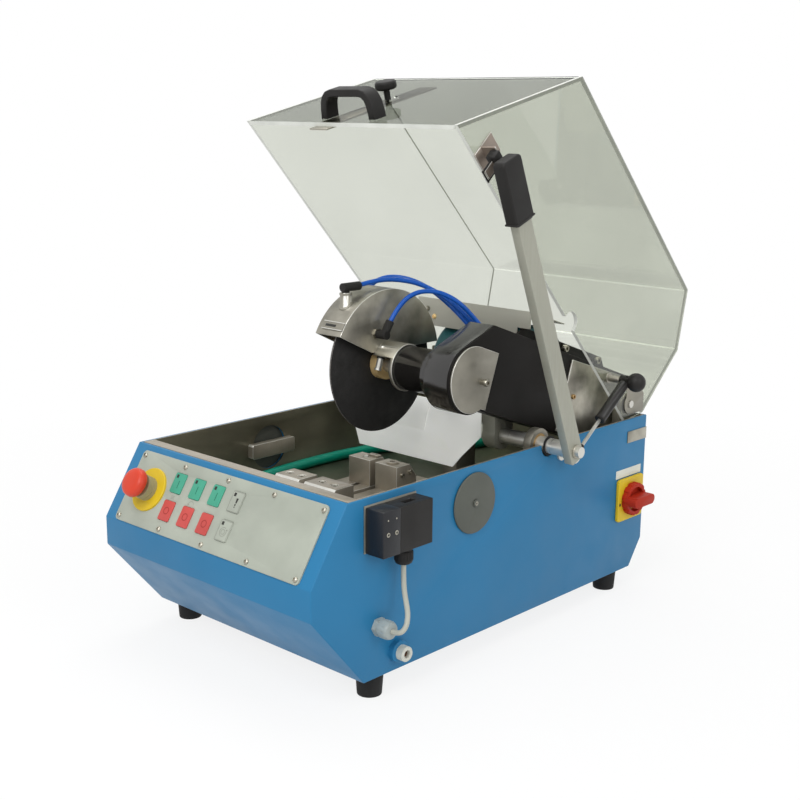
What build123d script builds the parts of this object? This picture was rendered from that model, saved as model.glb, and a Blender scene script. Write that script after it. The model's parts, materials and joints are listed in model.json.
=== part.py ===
from build123d import *
import os
from math import acos, atan2, cos, degrees, hypot, radians, sin, tan

os.makedirs("parts", exist_ok=True)

# Metallographic cutting machine. Millimetres, X to the right, Y to the back, Z up.
# The origin is on the floor, at the centre of the four feet.

# Fits and clearances
running_fit = 0.08
loose_fit = 0.3
slide_gap = 0.4
bend_share = 0.45

# Base casing of bent sheet steel
base_width = 372
sheet = 3
foot_height = 28
foot_radius = 16.5
foot_waist = 2
foot_inset = 21
foot_y = 235
base_top = 243.3
front_y = -291
nose_y = -345
nose_top = 158.3
nose_low = 122.2
toe_y = -265
heel_y = 265
rear_y = 292
heel_rise = 37.3
wall_x = base_width / 2
foot_x = wall_x - foot_inset
inner_wall_x = wall_x - sheet

# Stainless tub inside the casing
liner = 2
tub_front = -271
tub_floor = 158
tub_x = inner_wall_x - liner
tub_rear = rear_y - sheet - liner

# Sloped control panel
slope_run = front_y - nose_y
slope_drop = base_top - nose_top
slope_length = hypot(slope_run, slope_drop)
panel_side_margin = 20
panel_height = 92
panel_top_margin = 7.5
panel_corner = 6
panel_thickness = 2
panel_centre = -(panel_top_margin + panel_height / 2)
panel_width = base_width - 2 * panel_side_margin

# Keys in the control panel, set out from the emergency stop
key_width = 20
key_height = 25
key_proud = 1
key_flange = 1.4
key_flange_depth = 1.2
key_offset = 45
key_pitch = 35.5
key_columns = 4
key_upper_row = -35
key_lower_row = -70.3
key_corner = 2

# Emergency stop
estop_inset = 41
estop_drop = -53
estop_disc_radius = 30
estop_disc = 3
estop_collar_radius = 15
estop_collar = 13
estop_head_radius = 20
estop_head_height = 14
estop_stem_radius = 9
estop_travel = 5
estop_gap = 6
estop_x = estop_inset - panel_width / 2
key_first_x = estop_x + key_offset

# Interlock switch on the right wall
switch_depth = 28
switch_length = 80
switch_height = 52
switch_y = -224
switch_z = 181
switch_edge = 2
switch_slot_y = -211
switch_slot_length = 18
switch_slot_width = 8
switch_slot_depth = 16
gland_radius = 11
gland_length = 20
gland_y = -217
wall_gland_radius = 11
wall_gland_length = 22
wall_gland_step = 2
wall_gland_y = -243
wall_gland_z = 90
cable_radius = 3
switch_x = wall_x + switch_depth / 2

# Side ports, each closed by a disc and an inner clamp bar
port_y = -80
port_z = 198
port_radius = 30
port_cover_radius = 37.5
port_cover = 3
port_bar_length = 76
port_bar_width = 20
port_bar_depth = 10
port_bar_corner = 3
port_stud_radius = 4
port_nut_radius = 4.5
port_nut = 1.5

# Drain fitting on the right wall
drain_y = -213
drain_z = 52
drain_flange_radius = 13
drain_flange = 8
drain_plug_radius = 9
drain_plug = 10

# Main switch on the right wall
main_switch_y = 254
main_switch_z = 132
main_plate_size = 60
main_plate = 5
main_plate_corner = 5
dial_radius = 23
dial_depth = 9
dial_flutes = 12
dial_flute_radius = 3
dial_flute_reach = 1.5
dial_recess_radius = 17
dial_recess = 6
dial_grip_width = 14
dial_grip_length = 48
dial_grip_depth = 14

# Pivot shaft and its bearings
pivot_y = 66
pivot_z = 241
shaft_radius = 10
shaft_left = 22
bush_wall = 3
left_block_x = 25
left_block_width = 25
block_wall_gap = 9.5
right_block_width = 11.5
block_depth = 39
shaft_notch_radius = 14
right_block_x = tub_x - block_wall_gap - right_block_width

# Hand lever on the right end of the shaft
lever_stand_off = 30
lever_thickness = 12
lever_width = 25
lever_tail = 14
lever_length = 390
lever_lean = 22.1
lever_tang = 60
lever_stub_radius = 7
lever_stub_proud = 8
lever_corner = 3
grip_length = 78
grip_width = 34
grip_thickness = 17
grip_round = 6
lever_x = wall_x + lever_stand_off

# Swinging arm. Its own axes start at the spindle: U along the arm to the rear, V square to it, upwards.
spindle_y = -48.5
spindle_z = 337.5
arm_tilt = 19.7
arm_block_gap = 7
arm_width = 40
arm_nose_radius = 43
arm_apex_u = 18.7
arm_top = 72
arm_bottom = -33
arm_length = 321
arm_wall = 4
belt_cover_sheet = 3
cover_plate = 2.5
nose_cover_radius = 41
nose_cover_edge = 36
nose_cover_bottom = -31
rear_cover_start = 192
rear_cover_margin = 3
bracket_width = 21
bracket_hub_radius = 19
bracket_front_u = 104
bracket_step_u = 117
bracket_rear_u = 150
bracket_top = 8
bracket_shelf = -13
arm_right = right_block_x - arm_block_gap
arm_left = arm_right - arm_width
bracket_left = arm_left - bracket_width

# Spindle, wheel and belt drive
spindle_radius = 10
spindle_left = -22
spindle_hole = 12
housing_left = 45
housing_radius = 28
housing_shoulder = 18
housing_shoulder_radius = 32
housing_groove = 1.5
bearing_radius = 21
bearing_width = 12
bearing_inset = 4
wheel_radius = 89
wheel_thickness = 2.4
flange_radius = 20
inner_flange = 12
outer_flange = 8
flange_nut_radius = 14
flange_nut = 9
pulley_radius = 20
pulley_rim = 2.5
pulley_width = 18
pulley_inset = 11
belt_thickness = 3
belt_width = 14
housing_shoulder_x = arm_left - housing_shoulder
pulley_left = arm_left + pulley_inset

# Motor on the arm
motor_u = 185
motor_v = 42
motor_radius = 60
motor_fin = 4
motor_fin_width = 3
motor_fins = 36
motor_length = 107
motor_flange = 8
motor_plate_thickness = 6
motor_plate_start = 120
motor_plate_end = 327
motor_plate_bottom = -10
motor_plate_top = 90
motor_plate_chamfer = 12
motor_shaft_radius = 7
motor_shaft_depth = 40
motor_opening = 24
fan_radius = 54
fan_length = 35
splash_left = -70
splash_front = 100
splash_rear = 175
splash_top = 401
splash_drop = 38
splash_fall = 24
splash_sheet = 1.5
splash_overhang = 12
splash_notch = 23
splash_notch_gap = 3
splash_post_radius = 5
splash_post_inset = 20
splash_post_pitch = 55

# Wheel guard
guard_radius = 96
guard_left = -30
guard_right = 14
guard_sheet = 2
guard_lip = (-131, 381)
guard_knee = (-78, 355.6)
guard_spindle_cut = 26
guard_end_plate = 2
guard_rim = 3
guard_saddle_sheet = 2
guard_saddle_spread = 120
guard_boss_x = -7
guard_boss_y = -103.5
guard_boss_radius = 7
guard_boss_height = 16
nozzle_radius = 4
nozzle_length = 31
nozzle_gap = 1
nozzle_foot = (-72.7, 333.5)
nozzle_lean = 19.3

# Coolant hoses and their fittings
hose_radius = 3
fitting_radius = 5.5
fitting_neck = 4.8
fitting_overlap = 4
elbow_rise = 6.3
elbow_top_end = -80
elbow_side_y = -70
elbow_side_z = 379
elbow_side_reach = 13
elbow_side_rise = 19
elbow_side_lean = 35
manifold_u = 75
manifold_v = 50
manifold_length = 26
manifold_height = 22
manifold_depth = 34
manifold_port_pitch = 10.5
manifold_port_radius = 4.2
manifold_port_rise = 12
manifold_port_lean = (-0.5, -0.35, 0.79)
manifold_port_approach = 18
flush_hose_radius = 7
flush_tail_length = 26
flush_wall_gap = 31
flush_rear_x = -68
flush_front_x = flush_wall_gap - tub_x

# Deflector behind the wheel
deflector_sheet = 1.5
deflector_left = -138
deflector_left_z = 211
deflector_foot_left = -130
deflector_foot_step = 16
deflector_bottom = 189
deflector_wing = 26
deflector_wing_gap = 6
deflector_wing_back = 7
deflector_wing_x = bracket_left - deflector_wing_gap
deflector_fold_x = deflector_wing_x - deflector_wing
deflector_foot_right = deflector_fold_x - deflector_foot_step
deflector_wing_z = 236
deflector_top = 276
deflector_lap_left = -60
deflector_lap_bottom = 231
deflector_seam_low = -7
deflector_seam_high = 5.5

# T-slot table and clamping jaws
table_top = 174
table_front = -240
table_rear = 20
table_gap = 5
left_plate_width = 53
right_plate_width = 73
slot_width = 8
slot_depth = 12
tee_width = 14
tee_height = 6
left_slot_x = -27
right_slot_x = 27
outer_slot_x = 58
jaw_height = 35
rear_jaw_front = -62
rear_jaw_depth = 37
rear_jaw_width = 38
front_jaw_y = -188
front_jaw_depth = 33
left_jaw_width = 43
right_jaw_width = 54
jaw_chamfer = 3
jaw_key_depth = 5
jaw_screw_radius = 5
jaw_screw_depth = 6
jaw_screw_spread = 11

# Clear hood, drawn closed and swung open about its rear hinge
hinge_y = 260
hinge_z = 262
hood_open = 47.6
hood_inset = 8
hood_sheet = 5
hood_front_y = -268.7
hood_bottom = 239.5
hood_brow_y = -154
hood_brow_z = 450
hood_crown_y = 245
hood_crown_z = 460
hood_back_y = 295
hood_shoulder_z = 389
hood_back_bottom = 275
hood_heel_y = 270
hood_notch_radius = 14.5
hinge_pin_radius = 5
hinge_lobe_radius = 14
hinge_bracket_inset = 18
hinge_bracket_width = 11.5
hinge_bracket_bottom = 195
hinge_bracket_front = 245
hinge_leaf = 1.5
hinge_leaf_front = 10
hinge_leaf_rear = 32
hinge_leaf_foot = 14
hinge_leaf_shoulder = 10
hinge_leaf_top = 36
hood_x = wall_x - hood_inset
hinge_bracket_x = hood_x - hinge_bracket_inset

# Fittings on the hood
handle_x = -9
handle_s = 26
handle_length = 92
handle_height = 36
handle_depth = 22
handle_leg = 14
handle_bar = 11
handle_shoulder = 12
handle_round = 4
latch_x = -36
latch_width = 30
latch_sheet = 2
latch_low = -10
latch_high = 195
latch_travel = 14
latch_knob_s = 117
latch_slot_gap = 0.5
latch_stem_radius = 4
latch_knob_radius = 14
latch_knob_height = 24
latch_knob_cap = 11
actuator_width = 28
actuator_low = 238
actuator_high = 276
actuator_sheet = 2
actuator_key_width = 12
actuator_key_tip = 222
actuator_rise = 8
stud_y = 203.5
stud_z = 307
stud_radius = 4.5
stud_flange_radius = 6.5

# Gas strut between the wall and the hood stud
strut_foot_y = 92
strut_foot_z = 225
strut_stand_off = 21
strut_stud_radius = 4
strut_stud_head = 6
strut_eye_radius = 8
strut_eye_width = 7
strut_rod_radius = 2.3
strut_rod_end = 80
strut_tube_start = 67
strut_tube_end = 132
strut_tube_radius = 7
strut_bore_end = 126
strut_socket_radius = 7.5
strut_socket_width = 14.5
strut_knob_radius = 12.5
strut_knob_neck = 6
strut_knob_reach = 8
strut_x = wall_x + strut_stand_off


def side_plane(x):
    """Plane across the machine at x: local X runs to the back, local Y up, and it extrudes to the right."""
    return Plane(origin=(x, 0, 0), x_dir=(0, 1, 0), z_dir=(1, 0, 0))


def panel_plane(height=0):
    """Plane on the sloped control front: local X to the right, local Y up the slope from its top edge."""
    normal = (0, -slope_drop / slope_length, slope_run / slope_length)
    return Plane(origin=(0, front_y, base_top), x_dir=(1, 0, 0), z_dir=normal).offset(height)


def arm_plane(x):
    """Plane across the arm at x, with the arm's own U and V axes from the spindle."""
    along = (0, cos(radians(arm_tilt)), -sin(radians(arm_tilt)))
    return Plane(origin=(x, spindle_y, spindle_z), x_dir=along, z_dir=(1, 0, 0))


def arm_point(u, v):
    """Y and Z of a point given along and square to the arm."""
    tilt = radians(arm_tilt)
    return spindle_y + u * cos(tilt) + v * sin(tilt), spindle_z - u * sin(tilt) + v * cos(tilt)


def lever_plane(x):
    """Plane of the lever at x: local Y runs up the lever from the pivot shaft."""
    lean = radians(lever_lean)
    return Plane(origin=(x, pivot_y, pivot_z), x_dir=(0, cos(lean), sin(lean)), z_dir=(1, 0, 0))


def hood_plane(x):
    """Plane across the open hood at x. Local X and Y are the closed hood's Y and Z from the hinge axis."""
    swing = radians(hood_open)
    return Plane(origin=(x, hinge_y, hinge_z), x_dir=(0, cos(swing), -sin(swing)), z_dir=(1, 0, 0))


def hood_point(y, z):
    """A point of the closed hood, in the local axes of hood_plane."""
    return y - hinge_y, z - hinge_z


def hood_panel_plane(height=0):
    """Plane on the hood's front panel: local X to the right, local Y up the panel from its lower edge."""
    run = hood_brow_y - hood_front_y
    rise = hood_brow_z - hood_bottom
    lift = radians(degrees(atan2(rise, run)) - hood_open)
    edge = hood_plane(0).from_local_coords(Vector(*hood_point(hood_front_y, hood_bottom), 0))
    normal = (0, -sin(lift), cos(lift))
    return Plane(origin=edge, x_dir=(1, 0, 0), z_dir=normal).offset(height)


def strut_plane(x):
    """Plane of the gas strut at x: local X runs up the strut from its foot."""
    reach = Vector(0, stud_y - strut_foot_y, stud_z - strut_foot_z).normalized()
    return Plane(origin=(x, strut_foot_y, strut_foot_z), x_dir=reach, z_dir=(1, 0, 0))


def bend_radii(points):
    """The arc at each corner of a hose route, as large as its two runs allow."""
    radii = []
    for before, corner, after in zip(points, points[1:], points[2:]):
        run_in = Vector(*corner) - Vector(*before)
        run_out = Vector(*after) - Vector(*corner)
        half_turn = radians(run_in.get_angle(run_out)) / 2
        radii.append(bend_share * min(run_in.length, run_out.length) / tan(half_turn))
    return radii


# Base casing
casing_profile = [
    (front_y, base_top),
    (nose_y, nose_top),
    (nose_y, nose_low),
    (toe_y, foot_height),
    (heel_y, foot_height),
    (rear_y, foot_height + heel_rise),
    (rear_y, base_top),
]
key_places = [
    (key_first_x + key_pitch * column, row)
    for row in (key_upper_row, key_lower_row)
    for column in range(key_columns)
]
key_window_margin = key_flange + slide_gap

with BuildPart() as base_shell:
    with BuildSketch(side_plane(-wall_x)):
        Polygon(*casing_profile, align=None)
    extrude(amount=base_width)
    offset(amount=-sheet, openings=base_shell.faces().sort_by(Axis.Z)[-1])
    with BuildSketch(side_plane(-wall_x)):
        with Locations((port_y, port_z)):
            Circle(port_radius)
    extrude(amount=base_width, mode=Mode.SUBTRACT)
    with BuildSketch(side_plane(inner_wall_x)):
        with Locations((pivot_y, pivot_z)):
            Circle(shaft_notch_radius)
    extrude(amount=sheet, mode=Mode.SUBTRACT)
    with BuildSketch(panel_plane()):
        with Locations(*key_places):
            Rectangle(key_width + 2 * key_window_margin, key_height + 2 * key_window_margin)
    extrude(amount=-sheet, mode=Mode.SUBTRACT)
base_shell.part.label = "base_shell"
export_step(base_shell.part, "parts/base_shell.step")

with BuildPart() as rubber_feet:
    with BuildSketch(Plane.XY):
        with GridLocations(2 * foot_x, 2 * foot_y, 2, 2):
            Circle(foot_radius - foot_waist)
    with BuildSketch(Plane.XY.offset(foot_height)):
        with GridLocations(2 * foot_x, 2 * foot_y, 2, 2):
            Circle(foot_radius)
    for lower, upper in zip(
        rubber_feet.pending_faces[:4],
        rubber_feet.pending_faces[4:],
    ):
        loft(sections=[lower, upper])
rubber_feet.part.label = "rubber_feet"
export_step(rubber_feet.part, "parts/rubber_feet.step")

# Stainless tub
flange_front = front_y + sheet * slope_length / slope_drop + slide_gap

with BuildPart() as tub_liner:
    with BuildSketch(side_plane(-inner_wall_x)):
        Polygon(
            (tub_front - liner, tub_floor - liner),
            (tub_rear + liner, tub_floor - liner),
            (tub_rear + liner, base_top),
            (tub_front - liner, base_top),
            align=None,
        )
    extrude(amount=2 * inner_wall_x)
    offset(amount=-liner, openings=tub_liner.faces().sort_by(Axis.Z)[-1])
    with BuildSketch(side_plane(-inner_wall_x)):
        Polygon(
            (flange_front, base_top - liner),
            (tub_front, base_top - liner),
            (tub_front, base_top),
            (flange_front, base_top),
            align=None,
        )
    extrude(amount=2 * inner_wall_x)
    with BuildSketch(side_plane(-inner_wall_x)):
        with Locations((port_y, port_z)):
            Circle(port_radius)
    extrude(amount=2 * inner_wall_x, mode=Mode.SUBTRACT)
    with BuildSketch(side_plane(tub_x)):
        with Locations((pivot_y, pivot_z)):
            Circle(shaft_notch_radius)
    extrude(amount=liner, mode=Mode.SUBTRACT)
tub_liner.part.label = "tub_liner"
export_step(tub_liner.part, "parts/tub_liner.step")

# Control panel with its keys
with BuildPart() as control_panel:
    with BuildSketch(panel_plane()):
        with Locations((0, panel_centre)):
            RectangleRounded(panel_width, panel_height, panel_corner)
        with Locations(*key_places):
            RectangleRounded(
                key_width + 2 * slide_gap,
                key_height + 2 * slide_gap,
                key_corner + slide_gap,
                mode=Mode.SUBTRACT,
            )
    extrude(amount=panel_thickness)
control_panel.part.label = "control_panel"
export_step(control_panel.part, "parts/control_panel.step")

key_names = [
    "green_key_left",
    "green_key_middle",
    "green_key_right",
    "white_key_upper",
    "red_key_left",
    "red_key_middle",
    "red_key_right",
    "white_key_lower",
]
for key_name, key_place in zip(key_names, key_places):
    with BuildPart() as key:
        with BuildSketch(panel_plane(-key_flange_depth)):
            with Locations(key_place):
                Rectangle(key_width + 2 * key_flange, key_height + 2 * key_flange)
        extrude(amount=key_flange_depth)
        with BuildSketch(panel_plane()):
            with Locations(key_place):
                RectangleRounded(key_width, key_height, key_corner)
        extrude(amount=panel_thickness + key_proud)
    key.part.label = key_name
    export_step(key.part, f"parts/{key_name}.step")

# Emergency stop
estop_foot = panel_thickness + estop_disc
estop_collar_top = estop_foot + estop_collar
estop_head_foot = estop_collar_top + estop_gap

with BuildPart() as estop_base:
    with BuildSketch(panel_plane(panel_thickness)):
        with Locations((estop_x, estop_drop)):
            Circle(estop_disc_radius)
    extrude(amount=estop_disc)
    with BuildSketch(panel_plane(estop_foot)):
        with Locations((estop_x, estop_drop)):
            Circle(estop_collar_radius)
    extrude(amount=estop_collar)
    with BuildSketch(panel_plane(estop_collar_top)):
        with Locations((estop_x, estop_drop)):
            Circle(estop_stem_radius + running_fit)
    extrude(amount=-estop_collar, mode=Mode.SUBTRACT)
estop_base.part.label = "estop_base"
export_step(estop_base.part, "parts/estop_base.step")

with BuildPart() as estop_head:
    with BuildSketch(panel_plane(estop_head_foot)):
        with Locations((estop_x, estop_drop)):
            Circle(estop_head_radius)
    extrude(amount=estop_head_height)
    head_rim = estop_head.faces().sort_by(Axis((0, 0, 0), panel_plane().z_dir))[-1].edges()
    fillet(head_rim, radius=estop_head_height / 2)
    with BuildSketch(panel_plane(estop_head_foot)):
        with Locations((estop_x, estop_drop)):
            Circle(estop_stem_radius)
    extrude(amount=-(estop_gap + estop_collar - estop_travel - loose_fit))
estop_head.part.label = "estop_head"
export_step(estop_head.part, "parts/estop_head.step")

# Interlock switch and its cable
with BuildPart() as safety_switch:
    with BuildSketch(Plane.XY.offset(switch_z)):
        with Locations((switch_x, switch_y)):
            Rectangle(switch_depth, switch_length)
    extrude(amount=switch_height)
    outer_edges = safety_switch.edges().filter_by(Axis.Z).group_by(Axis.X)[-1]
    fillet(outer_edges, radius=switch_edge)
    with BuildSketch(Plane.XY.offset(switch_z + switch_height)):
        with Locations((switch_x, switch_slot_y)):
            Rectangle(switch_slot_width, switch_slot_length)
    extrude(amount=-switch_slot_depth, mode=Mode.SUBTRACT)
safety_switch.part.label = "safety_switch"
export_step(safety_switch.part, "parts/safety_switch.step")

gland_foot = switch_z - gland_length
wall_gland_end = wall_x + wall_gland_length

with BuildPart() as cable_glands:
    with BuildSketch(Plane.XY.offset(gland_foot)):
        with Locations((switch_x, gland_y)):
            Circle(gland_radius)
    extrude(amount=gland_length)
    with BuildSketch(side_plane(wall_x)):
        with Locations((wall_gland_y, wall_gland_z)):
            RegularPolygon(wall_gland_radius, 6)
    extrude(amount=wall_gland_length / 2)
    with BuildSketch(side_plane(wall_x + wall_gland_length / 2)):
        with Locations((wall_gland_y, wall_gland_z)):
            Circle(wall_gland_radius - wall_gland_step)
    extrude(amount=wall_gland_length / 2)
cable_glands.part.label = "cable_glands"
export_step(cable_glands.part, "parts/cable_glands.step")

cable_route = [
    (switch_x, gland_y, gland_foot),
    (switch_x, gland_y, gland_foot - 15),
    (switch_x + 5.5, gland_y - 2, gland_foot - 31),
    (switch_x + 16, gland_y - 6.5, gland_foot - 43),
    (switch_x + 26, gland_y - 12.5, wall_gland_z + 18.5),
    (switch_x + 29, wall_gland_y + 6.5, wall_gland_z + 7.5),
    (wall_gland_end + 13.5, wall_gland_y, wall_gland_z),
    (wall_gland_end, wall_gland_y, wall_gland_z),
]
print("switch cable bends", [round(radius, 1) for radius in bend_radii(cable_route)])

with BuildPart() as switch_cable:
    with BuildLine() as cable_line:
        FilletPolyline(*cable_route, radius=bend_radii(cable_route))
    with BuildSketch(Plane(origin=cable_line.line @ 0, z_dir=cable_line.line % 0)) as cable_section:
        Circle(cable_radius)
    sweep(sections=cable_section.sketch, path=cable_line.line)
switch_cable.part.label = "switch_cable"
export_step(switch_cable.part, "parts/switch_cable.step")

# Side ports
with BuildPart() as port_covers:
    for face_x in (wall_x, -wall_x - port_cover):
        with BuildSketch(side_plane(face_x)):
            with Locations((port_y, port_z)):
                Circle(port_cover_radius)
                Circle(port_stud_radius, mode=Mode.SUBTRACT)
        extrude(amount=port_cover)
port_covers.part.label = "port_covers"
export_step(port_covers.part, "parts/port_covers.step")

with BuildPart() as port_clamps:
    for side in (1, -1):
        with BuildSketch(side_plane(side * (tub_x - port_bar_depth))):
            with Locations((port_y, port_z)):
                RectangleRounded(port_bar_length, port_bar_width, port_bar_corner)
        extrude(amount=side * port_bar_depth)
        with BuildSketch(side_plane(side * (tub_x - port_bar_depth))):
            with Locations((port_y, port_z)):
                Circle(port_stud_radius)
        extrude(amount=side * (wall_x + port_cover - tub_x + port_bar_depth))
        with BuildSketch(side_plane(side * (wall_x + port_cover))):
            with Locations((port_y, port_z)):
                Circle(port_nut_radius)
        extrude(amount=side * port_nut)
port_clamps.part.label = "port_clamps"
export_step(port_clamps.part, "parts/port_clamps.step")

# Main switch
with BuildPart() as main_switch_plate:
    with BuildSketch(side_plane(wall_x)):
        with Locations((main_switch_y, main_switch_z)):
            RectangleRounded(main_plate_size, main_plate_size, main_plate_corner)
    extrude(amount=main_plate)
main_switch_plate.part.label = "main_switch_plate"
export_step(main_switch_plate.part, "parts/main_switch_plate.step")

dial_foot = wall_x + main_plate + loose_fit

with BuildPart() as main_switch_dial:
    with BuildSketch(side_plane(dial_foot)):
        with Locations((main_switch_y, main_switch_z)):
            Circle(dial_radius)
            with PolarLocations(dial_radius + dial_flute_reach, dial_flutes):
                Circle(dial_flute_radius, mode=Mode.SUBTRACT)
    extrude(amount=dial_depth)
    with BuildSketch(side_plane(dial_foot + dial_depth)):
        with Locations((main_switch_y, main_switch_z)):
            Circle(dial_recess_radius)
    extrude(amount=-dial_recess, mode=Mode.SUBTRACT)
    with BuildSketch(side_plane(dial_foot + dial_depth - dial_recess)):
        with Locations((main_switch_y, main_switch_z)):
            SlotOverall(dial_grip_length, dial_grip_width)
    extrude(amount=dial_recess + dial_grip_depth)
main_switch_dial.part.label = "main_switch_dial"
export_step(main_switch_dial.part, "parts/main_switch_dial.step")

# Pivot shaft, its bushes and bearing blocks
bush_radius = shaft_radius + running_fit + bush_wall
block_places = [(left_block_x, left_block_width), (right_block_x, right_block_width)]

with BuildPart() as bearing_blocks:
    for block_x, block_width in block_places:
        with BuildSketch(side_plane(block_x)):
            with Locations((pivot_y, pivot_z)):
                Circle(block_depth / 2)
            Polygon(
                (pivot_y - block_depth / 2, tub_floor),
                (pivot_y + block_depth / 2, tub_floor),
                (pivot_y + block_depth / 2, pivot_z),
                (pivot_y - block_depth / 2, pivot_z),
                align=None,
            )
            with Locations((pivot_y, pivot_z)):
                Circle(bush_radius, mode=Mode.SUBTRACT)
        extrude(amount=block_width)
bearing_blocks.part.label = "bearing_blocks"
export_step(bearing_blocks.part, "parts/bearing_blocks.step")

with BuildPart() as shaft_bushes:
    for block_x, block_width in block_places:
        with BuildSketch(side_plane(block_x)):
            with Locations((pivot_y, pivot_z)):
                Circle(bush_radius)
                Circle(shaft_radius + running_fit, mode=Mode.SUBTRACT)
        extrude(amount=block_width)
shaft_bushes.part.label = "shaft_bushes"
export_step(shaft_bushes.part, "parts/shaft_bushes.step")

with BuildPart() as pivot_shaft:
    with BuildSketch(side_plane(shaft_left)):
        with Locations((pivot_y, pivot_z)):
            Circle(shaft_radius)
    extrude(amount=lever_x - shaft_left)
    with BuildSketch(side_plane(lever_x)):
        with Locations((pivot_y, pivot_z)):
            Circle(lever_stub_radius)
    extrude(amount=lever_thickness + lever_stub_proud)
pivot_shaft.part.label = "pivot_shaft"
export_step(pivot_shaft.part, "parts/pivot_shaft.step")

# Hand lever
bar_end = lever_length - grip_length + lever_tang

with BuildPart() as lever_bar:
    with BuildSketch(lever_plane(lever_x)):
        with Locations((0, (bar_end - lever_tail) / 2)):
            RectangleRounded(lever_width, bar_end + lever_tail, lever_corner)
        Circle(lever_stub_radius, mode=Mode.SUBTRACT)
    extrude(amount=lever_thickness)
lever_bar.part.label = "lever_bar"
export_step(lever_bar.part, "parts/lever_bar.step")

grip_left = lever_x + (lever_thickness - grip_thickness) / 2

with BuildPart() as lever_grip:
    with BuildSketch(lever_plane(grip_left)):
        with Locations((0, lever_length - grip_length / 2)):
            RectangleRounded(grip_width, grip_length, grip_round)
    extrude(amount=grip_thickness)
    fillet(lever_grip.faces().filter_by(Axis.X).edges(), radius=grip_thickness / 6)
    with BuildSketch(lever_plane(lever_x)):
        with Locations((0, bar_end - lever_tang - lever_corner)):
            Rectangle(lever_width, 2 * lever_tang + 2 * lever_corner, mode=Mode.ADD)
    extrude(amount=lever_thickness, mode=Mode.SUBTRACT)
lever_grip.part.label = "lever_grip"
export_step(lever_grip.part, "parts/lever_grip.step")

# Arm: clamp bracket, belt housing and covers
arm_turn = radians(arm_tilt)
pivot_run = pivot_y - spindle_y
pivot_fall = pivot_z - spindle_z
pivot_u = pivot_run * cos(arm_turn) - pivot_fall * sin(arm_turn)
pivot_v = pivot_run * sin(arm_turn) + pivot_fall * cos(arm_turn)
apex_angle = atan2(arm_top, arm_apex_u) + acos(arm_nose_radius / hypot(arm_apex_u, arm_top))
arm_outline = [
    (arm_nose_radius * cos(apex_angle), arm_nose_radius * sin(apex_angle)),
    (arm_apex_u, arm_top),
    (arm_length, arm_top),
    (arm_length, arm_bottom),
    (0, arm_bottom),
]

with BuildPart() as arm_bracket:
    with BuildSketch(arm_plane(bracket_left)):
        with Locations((pivot_u, pivot_v)):
            Circle(bracket_hub_radius)
        Polygon(
            (pivot_u - bracket_hub_radius, pivot_v),
            (bracket_front_u, bracket_shelf),
            (bracket_front_u, bracket_top),
            (bracket_step_u, bracket_top),
            (bracket_step_u, bracket_shelf),
            (bracket_rear_u, bracket_shelf),
            (pivot_u + bracket_hub_radius, pivot_v),
            align=None,
        )
        with Locations((pivot_u, pivot_v)):
            Circle(shaft_radius, mode=Mode.SUBTRACT)
    extrude(amount=arm_left - bracket_left)
arm_bracket.part.label = "arm_bracket"
export_step(arm_bracket.part, "parts/arm_bracket.step")

with BuildPart() as arm_housing:
    with BuildSketch(arm_plane(arm_left)):
        Circle(arm_nose_radius)
        Polygon(*arm_outline, align=None)
    extrude(amount=arm_width - belt_cover_sheet)
    with BuildSketch(arm_plane(arm_left + arm_wall)):
        Circle(arm_nose_radius)
        Polygon(*arm_outline, align=None)
        offset(amount=-arm_wall)
    extrude(amount=arm_width - belt_cover_sheet - arm_wall, mode=Mode.SUBTRACT)
    with BuildSketch(arm_plane(arm_left)):
        Circle(spindle_hole)
        with Locations((motor_u, motor_v)):
            Circle(motor_opening)
    extrude(amount=arm_wall, mode=Mode.SUBTRACT)
arm_housing.part.label = "arm_housing"
export_step(arm_housing.part, "parts/arm_housing.step")

with BuildPart() as belt_cover:
    with BuildSketch(arm_plane(arm_right - belt_cover_sheet)):
        Circle(arm_nose_radius)
        Polygon(*arm_outline, align=None)
    extrude(amount=belt_cover_sheet)
belt_cover.part.label = "belt_cover"
export_step(belt_cover.part, "parts/belt_cover.step")

rear_cover_end = arm_length - rear_cover_margin

with BuildPart() as arm_covers:
    with BuildSketch(arm_plane(arm_right)):
        Circle(nose_cover_radius)
        Polygon(
            (0, nose_cover_radius),
            (nose_cover_edge, nose_cover_radius),
            (nose_cover_edge, nose_cover_bottom),
            (0, nose_cover_bottom),
            align=None,
        )
        with Locations((nose_cover_edge + nose_cover_radius, 0)):
            Rectangle(2 * nose_cover_radius, 3 * nose_cover_radius, mode=Mode.SUBTRACT)
        Polygon(
            (rear_cover_start, arm_bottom + rear_cover_margin),
            (rear_cover_end, arm_bottom + rear_cover_margin),
            (rear_cover_end, arm_top - rear_cover_margin),
            (rear_cover_start, arm_top - 2 * rear_cover_margin),
            align=None,
        )
    extrude(amount=cover_plate)
arm_covers.part.label = "arm_covers"
export_step(arm_covers.part, "parts/arm_covers.step")

# Spindle housing, bearings, spindle and wheel
with BuildPart() as spindle_housing:
    with BuildSketch(arm_plane(housing_left)):
        Circle(housing_radius)
        Circle(bearing_radius, mode=Mode.SUBTRACT)
    extrude(amount=housing_shoulder_x - housing_left)
    with BuildSketch(arm_plane(housing_shoulder_x)):
        Circle(housing_shoulder_radius)
        Circle(bearing_radius, mode=Mode.SUBTRACT)
    extrude(amount=arm_left - housing_shoulder_x)
    housing_rims = spindle_housing.edges().filter_by(GeomType.CIRCLE)
    chamfer(housing_rims.filter_by(lambda rim: rim.radius > bearing_radius), length=housing_groove)
spindle_housing.part.label = "spindle_housing"
export_step(spindle_housing.part, "parts/spindle_housing.step")

bearing_places = [housing_left + bearing_inset, arm_left - bearing_inset - bearing_width]

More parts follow.
